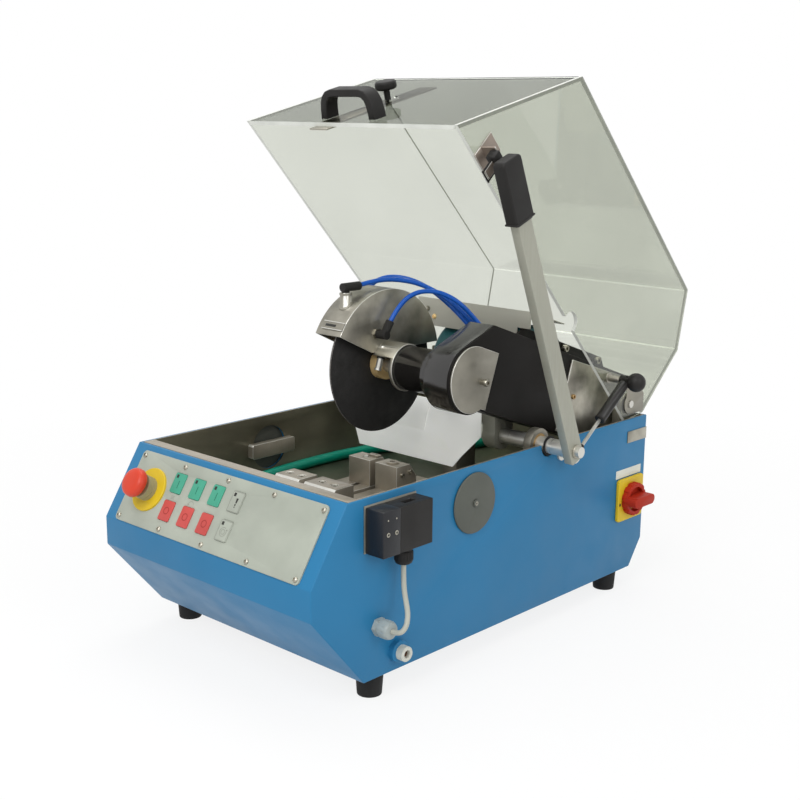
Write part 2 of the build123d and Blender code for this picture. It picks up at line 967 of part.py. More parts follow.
with BuildPart() as spindle_bearings:
    for bearing_x in bearing_places:
        with BuildSketch(arm_plane(bearing_x)):
            Circle(bearing_radius)
            Circle(spindle_radius + running_fit, mode=Mode.SUBTRACT)
        extrude(amount=bearing_width)
spindle_bearings.part.label = "spindle_bearings"
export_step(spindle_bearings.part, "parts/spindle_bearings.step")

pulley_groove = (pulley_width - belt_width) / 2 - loose_fit
pulley_right = pulley_left + pulley_width


def pulley_profile(bore):
    """Half section of a flanged belt pulley in the active sketch: X along the shaft, Y outwards."""
    Polygon(
        (pulley_left, bore),
        (pulley_right, bore),
        (pulley_right, pulley_radius + pulley_rim),
        (pulley_right - pulley_groove, pulley_radius + pulley_rim),
        (pulley_right - pulley_groove, pulley_radius),
        (pulley_left + pulley_groove, pulley_radius),
        (pulley_left + pulley_groove, pulley_radius + pulley_rim),
        (pulley_left, pulley_radius + pulley_rim),
        align=None,
    )


def section_plane(y, z):
    """Upright plane through an axis along X: local X is the machine's X, local Y points up."""
    return Plane(origin=(0, y, z), x_dir=(1, 0, 0), z_dir=(0, -1, 0))


motor_y, motor_z = arm_point(motor_u, motor_v)

with BuildPart() as spindle_shaft:
    with BuildSketch(section_plane(spindle_y, spindle_z)):
        Polygon(
            (spindle_left, 0),
            (pulley_right, 0),
            (pulley_right, spindle_radius),
            (spindle_left, spindle_radius),
            align=None,
        )
        pulley_profile(0)
    revolve(axis=Axis((0, spindle_y, spindle_z), (1, 0, 0)))
spindle_shaft.part.label = "spindle_shaft"
export_step(spindle_shaft.part, "parts/spindle_shaft.step")

with BuildPart() as cutting_wheel:
    with BuildSketch(arm_plane(-wheel_thickness / 2)):
        Circle(wheel_radius)
        Circle(spindle_radius, mode=Mode.SUBTRACT)
    extrude(amount=wheel_thickness)
cutting_wheel.part.label = "cutting_wheel"
export_step(cutting_wheel.part, "parts/cutting_wheel.step")

with BuildPart() as wheel_flanges:
    with BuildSketch(arm_plane(wheel_thickness / 2)):
        Circle(flange_radius)
        Circle(spindle_radius, mode=Mode.SUBTRACT)
    extrude(amount=inner_flange)
    with BuildSketch(arm_plane(-wheel_thickness / 2 - outer_flange)):
        Circle(flange_radius)
        Circle(spindle_radius, mode=Mode.SUBTRACT)
    extrude(amount=outer_flange)
    with BuildSketch(arm_plane(-wheel_thickness / 2 - outer_flange - flange_nut)):
        RegularPolygon(flange_nut_radius, 6)
        Circle(spindle_radius, mode=Mode.SUBTRACT)
    extrude(amount=flange_nut)
wheel_flanges.part.label = "wheel_flanges"
export_step(wheel_flanges.part, "parts/wheel_flanges.step")

# Belt and motor
belt_span = hypot(motor_u, motor_v)
belt_angle = degrees(atan2(motor_v, motor_u))
belt_inner = pulley_radius + loose_fit

with BuildPart() as drive_belt:
    with BuildSketch(arm_plane(pulley_left + (pulley_width - belt_width) / 2)):
        with Locations((motor_u / 2, motor_v / 2)):
            SlotCenterToCenter(belt_span, 2 * (belt_inner + belt_thickness), rotation=belt_angle)
            SlotCenterToCenter(belt_span, 2 * belt_inner, rotation=belt_angle, mode=Mode.SUBTRACT)
    extrude(amount=belt_width)
drive_belt.part.label = "drive_belt"
export_step(drive_belt.part, "parts/drive_belt.step")

motor_right = arm_left - motor_plate_thickness
motor_left = motor_right - motor_length

with BuildPart() as motor_plate:
    with BuildSketch(arm_plane(motor_right)):
        Polygon(
            (motor_plate_start, motor_plate_bottom),
            (motor_plate_end, motor_plate_bottom),
            (motor_plate_end, motor_plate_top - motor_plate_chamfer),
            (motor_plate_end - motor_plate_chamfer, motor_plate_top),
            (motor_plate_start + motor_plate_chamfer, motor_plate_top),
            (motor_plate_start, motor_plate_top - motor_plate_chamfer),
            align=None,
        )
        with Locations((motor_u, motor_v)):
            Circle(motor_opening, mode=Mode.SUBTRACT)
    extrude(amount=motor_plate_thickness)
motor_plate.part.label = "motor_plate"
export_step(motor_plate.part, "parts/motor_plate.step")

with BuildPart() as motor_body:
    with BuildSketch(arm_plane(motor_left)):
        with Locations((motor_u, motor_v)):
            Circle(motor_radius - motor_fin)
            with PolarLocations(motor_radius - motor_fin, motor_fins):
                Rectangle(2 * motor_fin, motor_fin_width)
    extrude(amount=motor_length - motor_flange)
    with BuildSketch(arm_plane(motor_right - motor_flange)):
        with Locations((motor_u, motor_v)):
            Circle(motor_radius)
    extrude(amount=motor_flange)
    with BuildSketch(arm_plane(motor_right)):
        with Locations((motor_u, motor_v)):
            Circle(motor_shaft_radius + running_fit)
    extrude(amount=-motor_shaft_depth, mode=Mode.SUBTRACT)
motor_body.part.label = "motor_body"
export_step(motor_body.part, "parts/motor_body.step")

with BuildPart() as fan_cover:
    with BuildSketch(arm_plane(motor_left - fan_length)):
        with Locations((motor_u, motor_v)):
            Circle(fan_radius)
    extrude(amount=fan_length)
    fan_rim = fan_cover.faces().sort_by(Axis.X)[0].edges()
    fillet(fan_rim, radius=fan_length / 4)
fan_cover.part.label = "fan_cover"
export_step(fan_cover.part, "parts/fan_cover.step")

with BuildPart() as motor_rotor:
    with BuildSketch(section_plane(motor_y, motor_z)):
        Polygon(
            (motor_right - motor_shaft_depth + loose_fit, 0),
            (pulley_right, 0),
            (pulley_right, motor_shaft_radius),
            (motor_right - motor_shaft_depth + loose_fit, motor_shaft_radius),
            align=None,
        )
        pulley_profile(0)
    revolve(axis=Axis((0, motor_y, motor_z), (1, 0, 0)))
motor_rotor.part.label = "motor_rotor"
export_step(motor_rotor.part, "parts/motor_rotor.step")

splash_right = arm_left + splash_overhang
splash_width = splash_right - splash_left
splash_notch_left = motor_right - splash_notch_gap
first_post_x = motor_left + splash_post_inset

with BuildPart() as splash_cover:
    with BuildSketch(Plane.XY.offset(motor_z)):
        with Locations((first_post_x, motor_y), (first_post_x + splash_post_pitch, motor_y)):
            Circle(splash_post_radius)
    extrude(amount=splash_top - motor_z)
    with BuildSketch(side_plane(splash_left)):
        Polygon(
            (splash_front, splash_top),
            (splash_rear, splash_top - splash_fall),
            (splash_rear, splash_top),
            align=None,
        )
    extrude(amount=splash_width, mode=Mode.SUBTRACT)
    with BuildSketch(side_plane(splash_left)):
        Polygon(
            (splash_front, splash_top - splash_drop),
            (splash_front + splash_sheet, splash_top - splash_drop),
            (splash_front + splash_sheet, splash_top - splash_sheet),
            (splash_rear, splash_top - splash_fall - splash_sheet),
            (splash_rear, splash_top - splash_fall),
            (splash_front, splash_top),
            align=None,
        )
    extrude(amount=splash_width)
    with BuildSketch(Plane.XY.offset(splash_top - splash_notch)):
        Polygon(
            (splash_notch_left, splash_front),
            (splash_right, splash_front),
            (splash_right, splash_front + splash_sheet),
            (splash_notch_left, splash_front + splash_sheet),
            align=None,
        )
    extrude(amount=splash_notch - splash_drop, mode=Mode.SUBTRACT)
    with BuildSketch(arm_plane(motor_left)):
        with Locations((motor_u, motor_v)):
            Circle(hypot(motor_radius, motor_fin_width / 2))
    extrude(amount=motor_length, mode=Mode.SUBTRACT)
splash_cover.part.label = "splash_cover"
export_step(splash_cover.part, "parts/splash_cover.step")

# Wheel guard: a drum open below, carried by a saddle and a rim on the end of the spindle housing
guard_below = spindle_z - guard_radius
guard_ahead = guard_lip[0] - guard_radius
guard_slope = (guard_lip[1] - guard_knee[1]) / (guard_lip[0] - guard_knee[0])
guard_cut = [
    (guard_ahead, guard_knee[1] + guard_slope * (guard_ahead - guard_knee[0])),
    guard_knee,
    (spindle_y + 2 * guard_radius, guard_knee[1]),
    (spindle_y + 2 * guard_radius, guard_below),
    (guard_ahead, guard_below),
]
saddle_inner = housing_radius + running_fit
saddle_outer = housing_radius + guard_saddle_sheet
saddle_half = radians(guard_saddle_spread / 2)
saddle_edge_y = 2 * saddle_outer * sin(saddle_half)
saddle_edge_z = spindle_z + 2 * saddle_outer * cos(saddle_half)
end_plate_x = housing_left - guard_end_plate
boss_ahead = spindle_y - guard_boss_y
boss_foot_z = spindle_z + (guard_radius**2 - boss_ahead**2) ** 0.5
boss_top = Vector(guard_boss_x, guard_boss_y, boss_foot_z + guard_boss_height)
nozzle_turn = radians(nozzle_lean)
nozzle_axis = Vector(0, sin(nozzle_turn), cos(nozzle_turn))
nozzle_end = Vector(guard_right + nozzle_gap + nozzle_radius, nozzle_foot[0], nozzle_foot[1])

with BuildPart() as wheel_guard:
    with BuildSketch(side_plane(guard_left)):
        with Locations((spindle_y, spindle_z)):
            Circle(guard_radius)
    extrude(amount=guard_right - guard_left)
    with BuildSketch(Plane.XY.offset(spindle_z)):
        with Locations((guard_boss_x, guard_boss_y)):
            Circle(guard_boss_radius)
    extrude(amount=boss_top.Z - spindle_z)
    with BuildSketch(side_plane(guard_left + guard_sheet)):
        with Locations((spindle_y, spindle_z)):
            Circle(guard_radius - guard_sheet)
    extrude(amount=guard_right - guard_left - 2 * guard_sheet, mode=Mode.SUBTRACT)
    with BuildSketch(side_plane(guard_left)):
        Polygon(*guard_cut, align=None)
        with Locations((spindle_y, spindle_z)):
            Circle(guard_spindle_cut)
    extrude(amount=guard_right - guard_left, mode=Mode.SUBTRACT)
    with BuildSketch(side_plane(guard_right - guard_sheet)):
        with Locations((spindle_y, spindle_z)):
            Circle(saddle_outer)
            Circle(saddle_inner, mode=Mode.SUBTRACT)
        Polygon(
            (spindle_y, spindle_z),
            (spindle_y + saddle_edge_y, saddle_edge_z),
            (spindle_y, spindle_z + 2 * guard_radius),
            (spindle_y - saddle_edge_y, saddle_edge_z),
            align=None,
            mode=Mode.INTERSECT,
        )
    extrude(amount=housing_left - guard_right + guard_sheet)
    with BuildSketch(side_plane(end_plate_x)):
        with Locations((spindle_y, spindle_z)):
            Circle(saddle_outer)
            Circle(spindle_hole, mode=Mode.SUBTRACT)
    extrude(amount=guard_end_plate)
    with BuildSketch(side_plane(housing_left)):
        with Locations((spindle_y, spindle_z)):
            Circle(saddle_outer)
            Circle(saddle_inner, mode=Mode.SUBTRACT)
    extrude(amount=guard_rim)
    with BuildSketch(Plane(origin=nozzle_end, z_dir=nozzle_axis)):
        Circle(nozzle_radius)
    extrude(amount=nozzle_length)
wheel_guard.part.label = "wheel_guard"
export_step(wheel_guard.part, "parts/wheel_guard.step")

# Hose elbows on the guard and the manifold on the arm
elbow_top_z = boss_top.Z + elbow_rise
elbow_axis = Vector(0, sin(radians(elbow_side_lean)), cos(radians(elbow_side_lean)))
manifold_ports = [arm_left - manifold_depth / 2 + manifold_port_pitch * step for step in (-1, 0, 1)]
manifold_top_y, manifold_top_z = arm_point(manifold_u, manifold_v + manifold_height / 2)
port_feet = [Vector(port_x, manifold_top_y, manifold_top_z) for port_x in manifold_ports]
port_axis = Vector(*manifold_port_lean).normalized()

with BuildPart() as hose_fittings:
    with BuildSketch(Plane(origin=boss_top)):
        Circle(fitting_neck)
    extrude(amount=elbow_rise)
    with BuildSketch(Plane(origin=(guard_boss_x, boss_top.Y - fitting_radius, elbow_top_z), z_dir=(0, 1, 0))):
        Circle(fitting_radius)
    extrude(amount=elbow_top_end - boss_top.Y + fitting_radius)
    for side, face_x in ((1, guard_right), (-1, guard_left)):
        elbow_x = face_x + side * elbow_side_reach
        with BuildSketch(side_plane(face_x)):
            with Locations((elbow_side_y, elbow_side_z)):
                Circle(fitting_radius)
        extrude(amount=side * (elbow_side_reach + fitting_radius))
        with BuildSketch(Plane(origin=(elbow_x, elbow_side_y, elbow_side_z), z_dir=elbow_axis)):
            Circle(fitting_radius)
        extrude(amount=elbow_side_rise)
    with BuildSketch(arm_plane(arm_left - manifold_depth)):
        with Locations((manifold_u, manifold_v)):
            Rectangle(manifold_length, manifold_height)
    extrude(amount=manifold_depth)
    for port_foot in port_feet:
        with BuildSketch(Plane(origin=port_foot - port_axis * fitting_overlap, z_dir=port_axis)):
            Circle(manifold_port_radius)
        extrude(amount=manifold_port_rise + fitting_overlap)
hose_fittings.part.label = "hose_fittings"
export_step(hose_fittings.part, "parts/hose_fittings.step")

# Coolant hoses, each from its elbow over the top to a port of the manifold
elbow_mouth = Vector(0, elbow_side_y, elbow_side_z) + elbow_axis * (elbow_side_rise - fitting_overlap)
right_elbow_x = guard_right + elbow_side_reach
left_elbow_x = guard_left - elbow_side_reach
port_ends = [foot + port_axis * (manifold_port_rise - fitting_overlap) for foot in port_feet]
port_aims = [foot + port_axis * (manifold_port_rise + manifold_port_approach) for foot in port_feet]
hose_routes = [
    [
        (guard_boss_x, elbow_top_end - fitting_overlap, elbow_top_z),
        (guard_boss_x + 1, elbow_top_end + 24, elbow_top_z + 4),
        (guard_boss_x + 10, elbow_top_end + 54, elbow_top_z + 4.5),
        (guard_boss_x + 30, elbow_top_end + 82, elbow_top_z - 2),
        (guard_boss_x + 62, elbow_top_end + 97, elbow_top_z - 19),
        tuple(port_aims[1]),
        tuple(port_ends[1]),
    ],
    [
        (right_elbow_x, elbow_mouth.Y, elbow_mouth.Z),
        (right_elbow_x + 1, elbow_mouth.Y + 14, elbow_mouth.Z + 20),
        (right_elbow_x + 9, elbow_mouth.Y + 35, elbow_mouth.Z + 38),
        (right_elbow_x + 27, elbow_mouth.Y + 57, elbow_mouth.Z + 40),
        (right_elbow_x + 49, elbow_mouth.Y + 74, elbow_mouth.Z + 28),
        tuple(port_aims[2]),
        tuple(port_ends[2]),
    ],
    [
        (left_elbow_x, elbow_mouth.Y, elbow_mouth.Z),
        (left_elbow_x, elbow_mouth.Y + 12, elbow_mouth.Z + 17),
        (left_elbow_x + 2, elbow_mouth.Y + 30, elbow_mouth.Z + 37),
        (left_elbow_x + 9, elbow_mouth.Y + 53, elbow_mouth.Z + 50),
        (left_elbow_x + 33, elbow_mouth.Y + 73, elbow_mouth.Z + 49),
        (left_elbow_x + 70, elbow_mouth.Y + 82, elbow_mouth.Z + 36),
        tuple(port_aims[0]),
        tuple(port_ends[0]),
    ],
]

with BuildPart() as coolant_hoses:
    for hose_route in hose_routes:
        print("coolant hose bends", [round(radius, 1) for radius in bend_radii(hose_route)])
        with BuildLine() as hose_line:
            FilletPolyline(*hose_route, radius=bend_radii(hose_route))
        with BuildSketch(Plane(origin=hose_line.line @ 0, z_dir=hose_line.line % 0)) as hose_section:
            Circle(hose_radius)
        sweep(sections=hose_section.sketch, path=hose_line.line)
coolant_hoses.part.label = "coolant_hoses"
export_step(coolant_hoses.part, "parts/coolant_hoses.step")

# Deflector behind the wheel, on the front of the left bearing block
deflector_y = pivot_y - block_depth / 2 - deflector_sheet


def front_plane(y):
    """Upright plane at y seen from the front: local X to the right, local Y up; it extrudes to the front."""
    return Plane(origin=(0, y, 0), x_dir=(1, 0, 0), z_dir=(0, -1, 0))


with BuildPart() as deflector:
    with BuildSketch(Plane.XY.offset(deflector_bottom)):
        Polygon(
            (deflector_left, deflector_y),
            (deflector_fold_x, deflector_y),
            (deflector_wing_x, deflector_y + deflector_wing_back),
            (deflector_wing_x, deflector_y + deflector_wing_back + deflector_sheet),
            (deflector_fold_x, deflector_y + deflector_sheet),
            (deflector_left, deflector_y + deflector_sheet),
            align=None,
        )
    extrude(amount=deflector_top - deflector_bottom)
    with BuildSketch(front_plane(deflector_y + deflector_wing_back + deflector_sheet)):
        Polygon(
            (deflector_left, deflector_left_z),
            (deflector_foot_left, deflector_bottom),
            (deflector_foot_right, deflector_bottom),
            (deflector_wing_x, deflector_wing_z),
            (deflector_wing_x, deflector_top),
            (deflector_left + deflector_top - deflector_left_z, deflector_top),
            align=None,
        )
    extrude(amount=deflector_wing_back + 2 * deflector_sheet, mode=Mode.INTERSECT)
    with BuildSketch(front_plane(deflector_y)):
        Polygon(
            (deflector_lap_left, deflector_lap_bottom),
            (deflector_seam_low, deflector_lap_bottom),
            (deflector_seam_high, deflector_top),
            (deflector_lap_left, deflector_top),
            align=None,
        )
    extrude(amount=deflector_sheet)
deflector.part.label = "deflector"
export_step(deflector.part, "parts/deflector.step")

# T-slot table
table_thickness = table_top - tub_floor
table_length = table_rear - table_front
left_plate_x = -table_gap - left_plate_width / 2
right_plate_x = table_gap + right_plate_width / 2
plate_middle = tub_floor + table_thickness / 2

with BuildPart() as table_plates:
    with BuildSketch(front_plane(table_front)):
        with Locations((left_plate_x, plate_middle)):
            Rectangle(left_plate_width, table_thickness)
        with Locations((right_plate_x, plate_middle)):
            Rectangle(right_plate_width, table_thickness)
        for slot_x in (left_slot_x, right_slot_x, outer_slot_x):
            with Locations((slot_x, table_top - slot_depth / 2)):
                Rectangle(slot_width, slot_depth, mode=Mode.SUBTRACT)
            with Locations((slot_x, table_top - slot_depth + tee_height / 2)):
                Rectangle(tee_width, tee_height, mode=Mode.SUBTRACT)
    extrude(amount=-table_length)
table_plates.part.label = "table_plates"
export_step(table_plates.part, "parts/table_plates.step")

# Clamping jaws
rear_jaw_back = rear_jaw_front + rear_jaw_depth
jaw_top = table_top + jaw_height

with BuildPart() as rear_jaws:
    for jaw_x in (-table_gap - rear_jaw_width, table_gap):
        with BuildSketch(side_plane(jaw_x)):
            Polygon(
                (rear_jaw_front, table_top),
                (rear_jaw_back, table_top),
                (rear_jaw_back, table_top + jaw_height / 2),
                (rear_jaw_back - rear_jaw_depth / 3, jaw_top),
                (rear_jaw_front, jaw_top),
                align=None,
            )
        extrude(amount=rear_jaw_width)
    with BuildSketch(Plane.XY.offset(jaw_top)):
        for jaw_x in (-table_gap - rear_jaw_width / 2, table_gap + rear_jaw_width / 2):
            with Locations((jaw_x, rear_jaw_front + rear_jaw_depth / 3)):
                Circle(jaw_screw_radius)
    extrude(amount=-jaw_screw_depth, mode=Mode.SUBTRACT)
rear_jaws.part.label = "rear_jaws"
export_step(rear_jaws.part, "parts/rear_jaws.step")

front_jaws = [
    ("front_jaw_left", -table_gap - left_jaw_width, left_jaw_width, left_slot_x),
    ("front_jaw_right", table_gap, right_jaw_width, right_slot_x),
]
for jaw_name, jaw_x, jaw_width, jaw_slot in front_jaws:
    with BuildPart() as front_jaw:
        with BuildSketch(side_plane(jaw_x)):
            Polygon(
                (front_jaw_y, table_top),
                (front_jaw_y + front_jaw_depth, table_top),
                (front_jaw_y + front_jaw_depth, jaw_top),
                (front_jaw_y + jaw_chamfer, jaw_top),
                (front_jaw_y, jaw_top - jaw_chamfer),
                align=None,
            )
        extrude(amount=jaw_width)
        with BuildSketch(Plane.XY.offset(jaw_top)):
            with Locations((jaw_x + jaw_width / 2, front_jaw_y + front_jaw_depth / 2)):
                with GridLocations(2 * jaw_screw_spread, 1, 2, 1):
                    Circle(jaw_screw_radius)
        extrude(amount=-jaw_screw_depth, mode=Mode.SUBTRACT)
        with BuildSketch(Plane.XY.offset(table_top)):
            with Locations((jaw_slot, front_jaw_y + front_jaw_depth / 2)):
                Rectangle(slot_width - slide_gap, front_jaw_depth)
        extrude(amount=-jaw_key_depth)
    front_jaw.part.label = jaw_name
    export_step(front_jaw.part, f"parts/{jaw_name}.step")

# Hose on the tub floor, its two tails and the drain fitting
flush_z = tub_floor + flush_hose_radius + loose_fit
flush_start_y = tub_front + flush_tail_length
flush_end_y = tub_rear - flush_tail_length
flush_route = [
    (flush_front_x, flush_start_y, flush_z),
    (flush_front_x, flush_start_y + 40, flush_z),
    (flush_front_x - 9, flush_start_y + 110, flush_z),
    (flush_front_x - 19, flush_start_y + 200, flush_z),
    (flush_front_x - 19, flush_start_y + 285, flush_z),
    (flush_front_x - 8, flush_start_y + 350, flush_z),
    (flush_front_x + 16, flush_start_y + 400, flush_z),
    (flush_rear_x - 28, flush_end_y - 75, flush_z),
    (flush_rear_x - 7, flush_end_y - 47, flush_z),
    (flush_rear_x, flush_end_y - 24, flush_z),
    (flush_rear_x, flush_end_y, flush_z),
]
print("flush hose bends", [round(radius, 1) for radius in bend_radii(flush_route)])

with BuildPart() as flush_hose:
    with BuildLine() as flush_line:
        FilletPolyline(*flush_route, radius=bend_radii(flush_route))
    with BuildSketch(Plane(origin=flush_line.line @ 0, z_dir=flush_line.line % 0)) as flush_section:
        Circle(flush_hose_radius)
    sweep(sections=flush_section.sketch, path=flush_line.line)
flush_hose.part.label = "flush_hose"
export_step(flush_hose.part, "parts/flush_hose.step")

with BuildPart() as brass_fittings:
    with BuildSketch(front_plane(tub_front)):
        with Locations((flush_front_x, flush_z)):
            Circle(flush_hose_radius)
    extrude(amount=-flush_tail_length)
    with BuildSketch(front_plane(tub_rear)):
        with Locations((flush_rear_x, flush_z)):
            Circle(flush_hose_radius)
    extrude(amount=flush_tail_length)
    with BuildSketch(side_plane(wall_x)):
        with Locations((drain_y, drain_z)):
            RegularPolygon(drain_flange_radius, 6)
    extrude(amount=drain_flange)
    with BuildSketch(side_plane(wall_x + drain_flange)):
        with Locations((drain_y, drain_z)):
            Circle(drain_plug_radius)
    extrude(amount=drain_plug)
brass_fittings.part.label = "brass_fittings"
export_step(brass_fittings.part, "parts/brass_fittings.step")

# Hinge brackets on the tub's rear wall, hinge pins and the strut's wall stud
hinge_pin_end = hood_x + 2 * hinge_leaf
stud_end = strut_x - strut_tube_radius - slide_gap
strut_left = strut_x - strut_eye_width / 2
strut_right = strut_x + strut_eye_width / 2

with BuildPart() as hinge_brackets:
    for bracket_x in (hinge_bracket_x, -hinge_bracket_x - hinge_bracket_width):
        with BuildSketch(side_plane(bracket_x)):
            with Locations((hinge_y, hinge_z)):
                Circle(hinge_lobe_radius)
            Polygon(
                (tub_rear, hinge_bracket_bottom),
                (tub_rear, base_top - hinge_lobe_radius),
                (hinge_y + hinge_lobe_radius, hinge_z),
                (hinge_y - hinge_lobe_radius, hinge_z),
                (hinge_bracket_front, base_top - hinge_lobe_radius),
                align=None,
            )
            with Locations((hinge_y, hinge_z)):
                Circle(hinge_pin_radius, mode=Mode.SUBTRACT)
        extrude(amount=hinge_bracket_width)
hinge_brackets.part.label = "hinge_brackets"
export_step(hinge_brackets.part, "parts/hinge_brackets.step")

with BuildPart() as pivot_pins:
    for pin_side in (1, -1):
        with BuildSketch(side_plane(pin_side * hinge_bracket_x)):
            with Locations((hinge_y, hinge_z)):
                Circle(hinge_pin_radius)
        extrude(amount=pin_side * (hinge_pin_end - hinge_bracket_x))
    with BuildSketch(side_plane(wall_x)):
        with Locations((strut_foot_y, strut_foot_z)):
            Circle(strut_eye_radius)
    extrude(amount=sheet)
    with BuildSketch(side_plane(wall_x)):
        with Locations((strut_foot_y, strut_foot_z)):
            Circle(strut_stud_radius)
    extrude(amount=strut_right + loose_fit - wall_x)
    with BuildSketch(side_plane(strut_right + loose_fit)):
        with Locations((strut_foot_y, strut_foot_z)):
            Circle(strut_stud_head)
    extrude(amount=sheet / 2)
pivot_pins.part.label = "pivot_pins"
export_step(pivot_pins.part, "parts/pivot_pins.step")

# Clear hood
hood_inner_x = hood_x - hood_sheet
hood_edge = [
    hood_point(hood_front_y, hood_bottom),
    hood_point(hood_brow_y, hood_brow_z),
    hood_point(hood_crown_y, hood_crown_z),
    hood_point(hood_back_y, hood_shoulder_z),
    hood_point(hood_back_y, hood_back_bottom),
]

with BuildPart() as hood_wrap:
    with BuildSketch(hood_plane(-hood_inner_x)):
        with BuildLine():
            Polyline(*hood_edge)
            offset(amount=hood_sheet, side=Side.RIGHT, kind=Kind.INTERSECTION)
        make_face()
    extrude(amount=2 * hood_inner_x)
    with BuildSketch(hood_panel_plane()):
        with Locations((latch_x, latch_knob_s + latch_travel / 2)):
            SlotCenterToCenter(latch_travel, 2 * (latch_stem_radius + latch_slot_gap), rotation=90)
    extrude(amount=-2 * hood_sheet, mode=Mode.SUBTRACT)
hood_wrap.part.label = "hood_wrap"
export_step(hood_wrap.part, "parts/hood_wrap.step")

with BuildPart() as hood_sides:
    for side_x in (hood_inner_x, -hood_x):
        with BuildSketch(hood_plane(side_x)):
            Polygon(*hood_edge, hood_point(hood_heel_y, hood_bottom), align=None)
            Circle(hinge_pin_radius + loose_fit, mode=Mode.SUBTRACT)
        extrude(amount=hood_sheet)
    with BuildSketch(hood_plane(hood_inner_x)):
        with Locations(hood_point(pivot_y, pivot_z)):
            Circle(hood_notch_radius)
    extrude(amount=hood_sheet, mode=Mode.SUBTRACT)
hood_sides.part.label = "hood_sides"
export_step(hood_sides.part, "parts/hood_sides.step")

# Handle, latch, actuator and hinge fittings of the hood
panel_up = hood_panel_plane().y_dir
handle_origin = hood_panel_plane().from_local_coords(Vector(handle_x, handle_s + handle_depth / 2, 0))
handle_half = handle_length / 2
handle_inner = handle_half - handle_leg

with BuildPart() as hood_handle:
    with BuildSketch(Plane(origin=handle_origin, x_dir=(1, 0, 0), z_dir=-panel_up)):
        Polygon(
            (-handle_half, 0),
            (-handle_half + handle_shoulder, handle_height),
            (handle_half - handle_shoulder, handle_height),
            (handle_half, 0),
            align=None,
        )
        Polygon(
            (-handle_inner, 0),
            (-handle_inner + handle_shoulder, handle_height - handle_bar),
            (handle_inner - handle_shoulder, handle_height - handle_bar),
            (handle_inner, 0),
            align=None,
            mode=Mode.SUBTRACT,
        )
    extrude(amount=handle_depth)
    fillet(hood_handle.edges().filter_by(Axis((0, 0, 0), panel_up)), radius=handle_round)
hood_handle.part.label = "hood_handle"
export_step(hood_handle.part, "parts/hood_handle.step")

latch_middle = (latch_low + latch_high) / 2

with BuildPart() as hood_latch:
    with BuildSketch(hood_panel_plane(-hood_sheet)):
        with Locations((latch_x, latch_middle)):
            Rectangle(latch_width, latch_high - latch_low)
    extrude(amount=-latch_sheet)
    with BuildSketch(hood_panel_plane(-hood_sheet)):
        with Locations((latch_x, latch_knob_s)):
            Circle(latch_stem_radius)
    extrude(amount=hood_sheet + latch_knob_height)
    with BuildSketch(hood_panel_plane(latch_knob_height - latch_knob_cap)):
        with Locations((latch_x, latch_knob_s)):
            Circle(latch_knob_radius)
    extrude(amount=latch_knob_cap)
    knob_rims = hood_latch.edges().filter_by(GeomType.CIRCLE)
    fillet(knob_rims.filter_by(lambda rim: rim.radius == latch_knob_radius), radius=latch_knob_cap / 3)
hood_latch.part.label = "hood_latch"
export_step(hood_latch.part, "parts/hood_latch.step")

actuator_shelf = base_top + actuator_rise
key_left = switch_x - actuator_sheet / 2

leaf_outline = [
    (hinge_y - hinge_leaf_front, hinge_z + hinge_leaf_top),
    (hinge_y + hinge_leaf_front, hinge_z + hinge_leaf_top),
    (hinge_y + hinge_leaf_rear, hinge_z + hinge_leaf_shoulder),
    (hinge_y + hinge_leaf_rear, hinge_z - hinge_leaf_foot),
    (hinge_y, hinge_z - hinge_leaf_foot),
    (hinge_y - hinge_leaf_front, hinge_z),
]

with BuildPart() as hood_fittings:
    for leaf_x in (hood_x, -hood_x - hinge_leaf):
        with BuildSketch(side_plane(leaf_x)):
            Polygon(*leaf_outline, align=None)
            with Locations((hinge_y, hinge_z)):
                Circle(hinge_lobe_radius)
                Circle(hinge_pin_radius + running_fit, mode=Mode.SUBTRACT)
        extrude(amount=hinge_leaf)
    with BuildSketch(side_plane(hood_x)):
        with Locations((stud_y, stud_z)):
            Circle(stud_radius)
    extrude(amount=stud_end - hood_x)
    with BuildSketch(side_plane(hood_x)):
        with Locations((stud_y, stud_z)):
            Circle(stud_flange_radius)
    extrude(amount=sheet)
    with BuildSketch(hood_plane(hood_x)):
        with Locations(hood_point(switch_slot_y, (actuator_low + actuator_high) / 2)):
            Rectangle(actuator_width, actuator_high - actuator_low)
    extrude(amount=actuator_sheet)
    with BuildSketch(hood_plane(hood_x)):
        with Locations(hood_point(switch_slot_y, actuator_shelf + actuator_sheet / 2)):
            Rectangle(actuator_width, actuator_sheet)
    extrude(amount=key_left + actuator_sheet - hood_x)
    with BuildSketch(hood_plane(key_left)):
        with Locations(hood_point(switch_slot_y, (actuator_key_tip + actuator_shelf) / 2)):
            Rectangle(actuator_key_width, actuator_shelf - actuator_key_tip)
    extrude(amount=actuator_sheet)
hood_fittings.part.label = "hood_fittings"
export_step(hood_fittings.part, "parts/hood_fittings.step")

# Gas strut
strut_reach = hypot(stud_y - strut_foot_y, stud_z - strut_foot_z)
strut_axis = strut_plane(strut_x).x_dir
strut_foot = Vector(strut_x, strut_foot_y, strut_foot_z)
socket_left = stud_end + slide_gap
knob_foot = socket_left + strut_socket_width

with BuildPart() as strut_rod:
    with BuildSketch(strut_plane(strut_left)):
        Circle(strut_eye_radius)
    extrude(amount=strut_eye_width)
    with BuildSketch(Plane(origin=strut_foot, z_dir=strut_axis)):
        Circle(strut_rod_radius)
    extrude(amount=strut_rod_end)
    with BuildSketch(strut_plane(strut_left)):
        Circle(strut_stud_radius + running_fit)
    extrude(amount=strut_eye_width, mode=Mode.SUBTRACT)
strut_rod.part.label = "strut_rod"
export_step(strut_rod.part, "parts/strut_rod.step")

